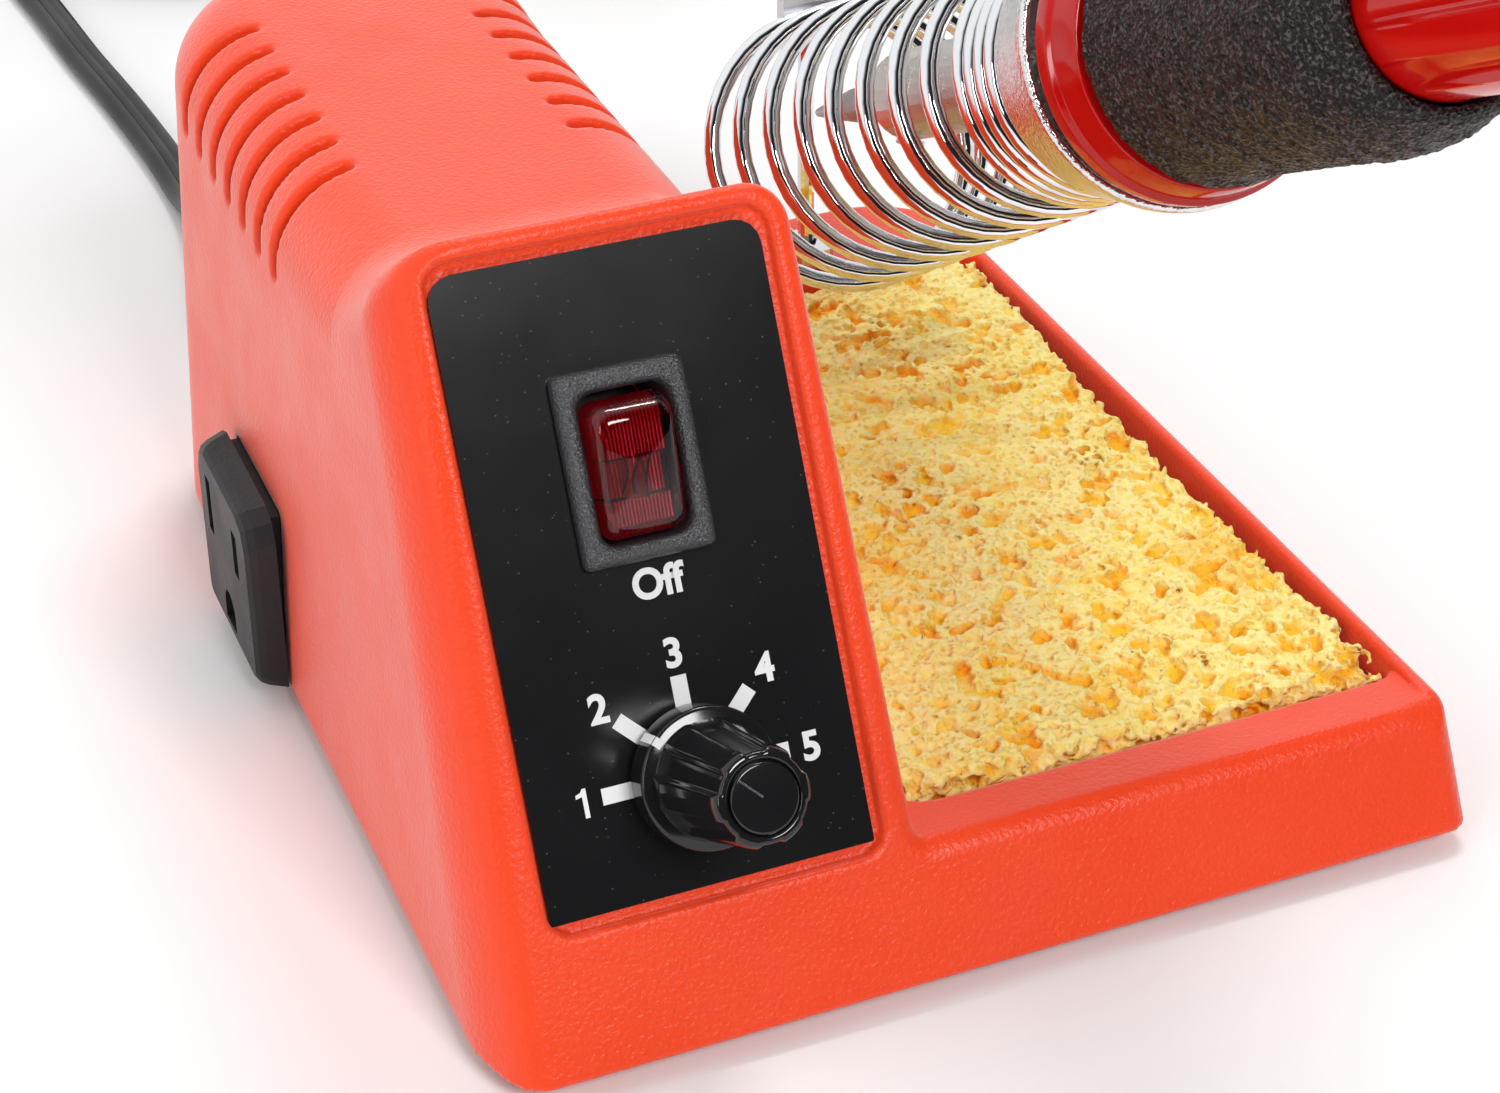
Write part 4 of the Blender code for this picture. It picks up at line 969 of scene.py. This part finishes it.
def sponge():
    """A cellulose sponge: open pores of many sizes, torn edges and a rough top."""
    step = 0.3
    low, high = (-6.6, 16.0, 3.9), (58.4, 131.6, 15.0)
    x, y, z = grid_of(low, high, step)
    shape = np.broadcast_shapes(x.shape, y.shape, z.shape)
    waves = noise_grid(shape, step, 14.0, 1)
    rough = noise_grid(shape, step, 2.6, 2)
    fine = noise_grid(shape, step, 1.1, 3)
    grit = noise_grid(shape, step, 0.6, 4)
    torn = 1.7 * (rough - 0.5) + 2.0 * (fine - 0.5)
    right = SPONGE_HIGH[0] - 1.5 * np.sin((y - 17) / 113 * math.pi) ** 2 - 0.8 * waves
    across = np.maximum(SPONGE_LOW[0] - x, x - right)
    side = np.maximum(across, np.maximum(SPONGE_LOW[1] - y, y - SPONGE_HIGH[1])) + 0.6 * torn
    top = z - SPONGE_HIGH[2] - 0.9 * (waves - 0.5) + 0.35 * torn
    body = round_and(side, top, 1.2)
    body = np.maximum(body, SPONGE_LOW[2] - z)
    skin = np.array(body, np.float32)
    dice = np.random.default_rng(7)
    for _ in range(PORES):
        size = 0.3 + 0.9 * dice.random() ** 4
        face = dice.random()
        at = [dice.uniform(-5.4, 57), dice.uniform(17.6, 130), 13.3 - 0.5 * size * dice.random()]
        if face > 0.8:
            at[2] = dice.uniform(5, 13)
            edge = int(dice.integers(0, 4))
            at[edge % 2] = (-5.0, 18.0, 56.0, 130.0)[edge]
        radii = [size * dice.uniform(0.7, 1.2), size * dice.uniform(0.8, 2.2), size * dice.uniform(0.7, 1.2)]
        window = []
        for axis in range(3):
            first = int((at[axis] - 1.6 * radii[axis] - 1 - low[axis]) / step)
            last = int((at[axis] + 1.6 * radii[axis] + 1 - low[axis]) / step) + 1
            window.append(slice(max(first, 0), max(min(last, shape[axis]), 0)))
        wx, wy, wz = x[window[0]], y[:, window[1]], z[:, :, window[2]]
        spin = dice.uniform(0, math.pi)
        dx, dy = wx - at[0], wy - at[1]
        ax = (dx * math.cos(spin) + dy * math.sin(spin)) / radii[0]
        ay = (dy * math.cos(spin) - dx * math.sin(spin)) / radii[1]
        hole = (np.sqrt(ax * ax + ay * ay + ((wz - at[2]) / radii[2]) ** 2) - 1) * size
        window = tuple(window)
        hole = hole + 0.9 * (fine[window] - 0.5) * min(size, 1.0)
        body[window] = round_cut(body[window], hole, 0.12)
    body = body + 0.5 * (grit - 0.5)
    mesh = net_mesh("sponge_block", body.astype(np.float32), low, step)
    points = np.empty(len(mesh.vertices) * 3, np.float32)
    mesh.vertices.foreach_get("co", points)
    cell = (points.reshape(-1, 3) / MM + np.array(ORIGIN) - np.array(low)) / step
    cell = np.clip(np.round(cell).astype(int), 0, np.array(shape) - 1)
    # How deep each point lies under the block's outer skin; the surface darkens with it as painted shade in
    # the hollows.
    depth = mesh.attributes.new("depth", "FLOAT", "POINT")
    depth.data.foreach_set("value", np.clip(-skin[tuple(cell.T)] / 1.6, 0, 1).astype(np.float32))
    add("sponge_block", mesh, SURFACES["sponge"], body="sponge", replaces=("sponge",))


def sponge_surface():
    """Cellulose: pale webs round pores of several sizes, a deeper orange inside them as painted shade, and
    more orange in patches.
    """
    n = Nodes("sponge_cellulose")
    node = n.tree.nodes.new("ShaderNodeAttribute")
    node.attribute_name = "depth"
    bent = n.tree.nodes.new("ShaderNodeVectorMath")
    bent.operation = "MULTIPLY_ADD"
    n.link(n.noise(420, 3), bent.inputs[0])
    bent.inputs[1].default_value = (0.0022, 0.0016, 0.0022)
    n.link(n.coords, bent.inputs[2])
    small = n.ramp(n.cells(1050, coords=bent.outputs[0]), (0.12, 1.0), (0.42, 0.0))
    large = n.ramp(n.cells(480, coords=bent.outputs[0]), (0.10, 1.0), (0.30, 0.0))
    sparse = n.ramp(n.noise(260, 2), (0.46, 0.0), (0.58, 1.0))
    pores = n.math("MAXIMUM", n.math("MULTIPLY", small, 0.55), n.math("MULTIPLY", large, sparse))
    tone = n.mix(n.ramp(n.noise(60, 4), (0.35, 0.0), (0.7, 1.0)), (1.0, 0.84, 0.30), (1.0, 0.76, 0.15))
    tone = n.mix(n.ramp(n.noise(900, 3), (0.4, 0.0), (0.62, 0.5)), tone, (1.0, 0.94, 0.52))
    # More orange in broad random patches.
    orange_patches = n.ramp(n.noise(34, 3), (0.62, 0.0), (0.8, 0.6))
    tone = n.mix(orange_patches, tone, (0.95, 0.45, 0.04))
    # A deeper orange for the pores and the hollows: painted shade.
    deep = n.mix(n.ramp(n.noise(160, 3), (0.4, 0.0), (0.65, 1.0)), (1.0, 0.62, 0.04), (0.95, 0.38, 0.01))
    inside = n.math("MAXIMUM", n.ramp(node.outputs["Fac"], (0.1, 0.0), (0.7, 1.0)), pores)
    n.colour(n.mix(inside, tone, deep))
    n.set(Roughness=0.9, Specular_IOR_Level=0.3, Subsurface_Weight=0.3, Subsurface_Scale=0.002)
    n.shader.inputs["Subsurface Radius"].default_value = (1.0, 0.6, 0.2)
    high = n.math("SUBTRACT", n.math("MULTIPLY", n.noise(1400, 4), 0.7), pores)
    n.bump(high, 0.8, 0.45)
    return n.material


def foam_surface():
    """Closed-cell foam: a dark skin of fine grains with painted highlights on their high points, worn browner
    in places.
    """
    n = Nodes("grip_foam")
    grain = n.cells(1900)
    worn = n.ramp(n.noise(22, 3), (0.4, 0.0), (0.65, 1.0))
    tone = n.mix(worn, (0.006, 0.006, 0.007), (0.018, 0.009, 0.007))
    # Paler colour at the high points of a fine noise that matches the bump's: painted highlights on the
    # grains.
    painted_highlights = n.ramp(n.noise(2300, 2), (0.52, 0.0), (0.66, 0.85))
    n.colour(n.mix(painted_highlights, tone, (0.13, 0.115, 0.11)))
    n.set(Roughness=0.4, Specular_IOR_Level=0.28)
    n.bump(n.mix(0.5, grain, n.noise(2300, 2)), 1.0, 0.9)
    return n.material


# ---------------------------------------------------------------- holder and iron

def holder():
    """The coil, which narrows and closes up towards the front, and the funnel that it holds."""
    per_turn = 40
    points = []
    wide_end = WIDE_PITCH * WIDE_TURNS - PITCH_FALL * WIDE_TURNS ** 2
    for i in range(int(-REAR_TURNS * per_turn), int((WIDE_TURNS + CLOSE_TURNS) * per_turn) + 1):
        turn = i / per_turn
        place = REAR_PITCH * turn if turn < 0 else WIDE_PITCH * turn - PITCH_FALL * turn ** 2
        if turn >= WIDE_TURNS:
            place = wide_end + CLOSE_PITCH * (turn - WIDE_TURNS)
        radius = SPRING_REAR_R - SPRING_TAPER * max(place, 0) - WIRE_R
        a = math.pi + 2 * math.pi * turn
        points.append(Vector((radius * math.cos(a), radius * math.sin(a), place + 0.3)))
    outline = [(WIRE_R * math.cos(a), WIRE_R * math.sin(a)) for a in (k * math.pi / 8 for k in range(16))]
    mesh = finished(sweep(points, outline), "holder_coil", HOLDER_PLACE)
    add("holder_coil", mesh, SURFACES["chrome"], replaces=("holder_spring",), sharp=60)
    funnel = [(12.0, 77), (12.0, 88.9), (12.6, 89.45), (15.6, 89.5), (16.3, 90.4), (18.0, 99.9),
              (18.5, 100.8), (18.6, 102.2), (18.2, 102.6), (17.7, 102.6), (17.3, 101.6), (15.4, 91.8),
              (13.2, 90.8), (11.0, 90.2), (11.0, 77)]
    place = HOLDER_PLACE @ Matrix.Translation((FUNNEL_SHIFT, 0, 0))
    mesh = finished(turned(rounded_profile(funnel, 0.5, 4), 128), "holder_cone", place)
    add("holder_cone", mesh, SURFACES["funnel"], replaces=("holder_funnel",), sharp=50)


def iron():
    """The collar, the handle with its eight flutes, and the foam grip between them."""
    collar = [(6.7, -3.0), (17.3, -3.0), (17.9, -2.2), (17.9, 0), (17.2, 0.5), (16.9, 2.4), (16.4, 4.4),
              (6.7, 4.4)]
    mesh = finished(turned(rounded_profile(collar, 0.4), 128), "collar_ring", IRON_PLACE)
    add("collar_ring", mesh, SURFACES["red"], body="iron", replaces=("iron_collar",), sharp=45)
    core = [(0, 4.7), (10.3, 4.7), (10.3, 50.5), (10.3, 56), (10.25, 62), (10.2, 70)]
    core += [(10.1, 80), (10.0, 90), (10.0, 100), (9.2, 104), (0, 104)]

    def flute(a, height, radius):
        """The eight hollows along the handle, which fade in behind the foam."""
        deep = min(max((height - 50.5) / 4, 0), 1) * (1 if height < 102 else 0.6)
        wave = 0.5 + 0.5 * math.cos(8 * a)
        return -1.35 * deep * min(max((wave - 0.42) / 0.2, 0), 1) if radius > 5 else 0

    shape = turned(rounded_profile(core, 0.5, closed=False), 256, ripple=flute)
    mesh = finished(shape, "handle_core_fluted", IRON_PLACE)
    add("handle_core_fluted", mesh, SURFACES["red"], body="iron", replaces=("handle_core",), sharp=55)
    foam()


def foam():
    """The grip's foam sleeve: a granular skin over a body that swells at the collar."""
    profile = [(10.7, 4.7), (15.0, 4.7), (15.8, 5.2), (16.1, 6.4), (15.6, 9.5), (15.2, 14), (15.1, 22),
               (15.05, 30), (15.0, 39), (14.6, 42.4), (14.0, 45.2), (13.0, 48.2), (12.2, 50.0), (11.4, 50.6),
               (10.7, 50.6)]
    path = smooth_route([(r, 0, s) for r, s in profile[1:-1]], 0.5)
    levels = [profile[0]] + [(p.x, p.z) for p in path] + [profile[-1]]
    dice = np.random.default_rng(11)
    around = 200
    grains = dice.normal(0, 1, (len(levels), around))
    grains = grains + 0.5 * (np.roll(grains, 1, 1) + np.roll(grains, -1, 1))
    rows = {height: i for i, (radius, height) in enumerate(levels)}

    def grain(a, height, radius):
        """The grains of the sleeve's side. Its two end faces stay plain."""
        k = int(round(a / (2 * math.pi) * around)) % around
        return 0.09 * float(grains[rows[height], k]) if 4.8 < height < 50.4 else 0

    mesh = finished(turned(levels, around, ripple=grain), "foam_sleeve", IRON_PLACE)
    add("foam_sleeve", mesh, SURFACES["foam"], body="iron", replaces=("foam_grip",))


SURFACES = build_materials()
camera()
studio()
dress_nodes()
housing()
print_on_label()
bezel()
rocker()
knob()
sponge()
holder()
iron()
cord()
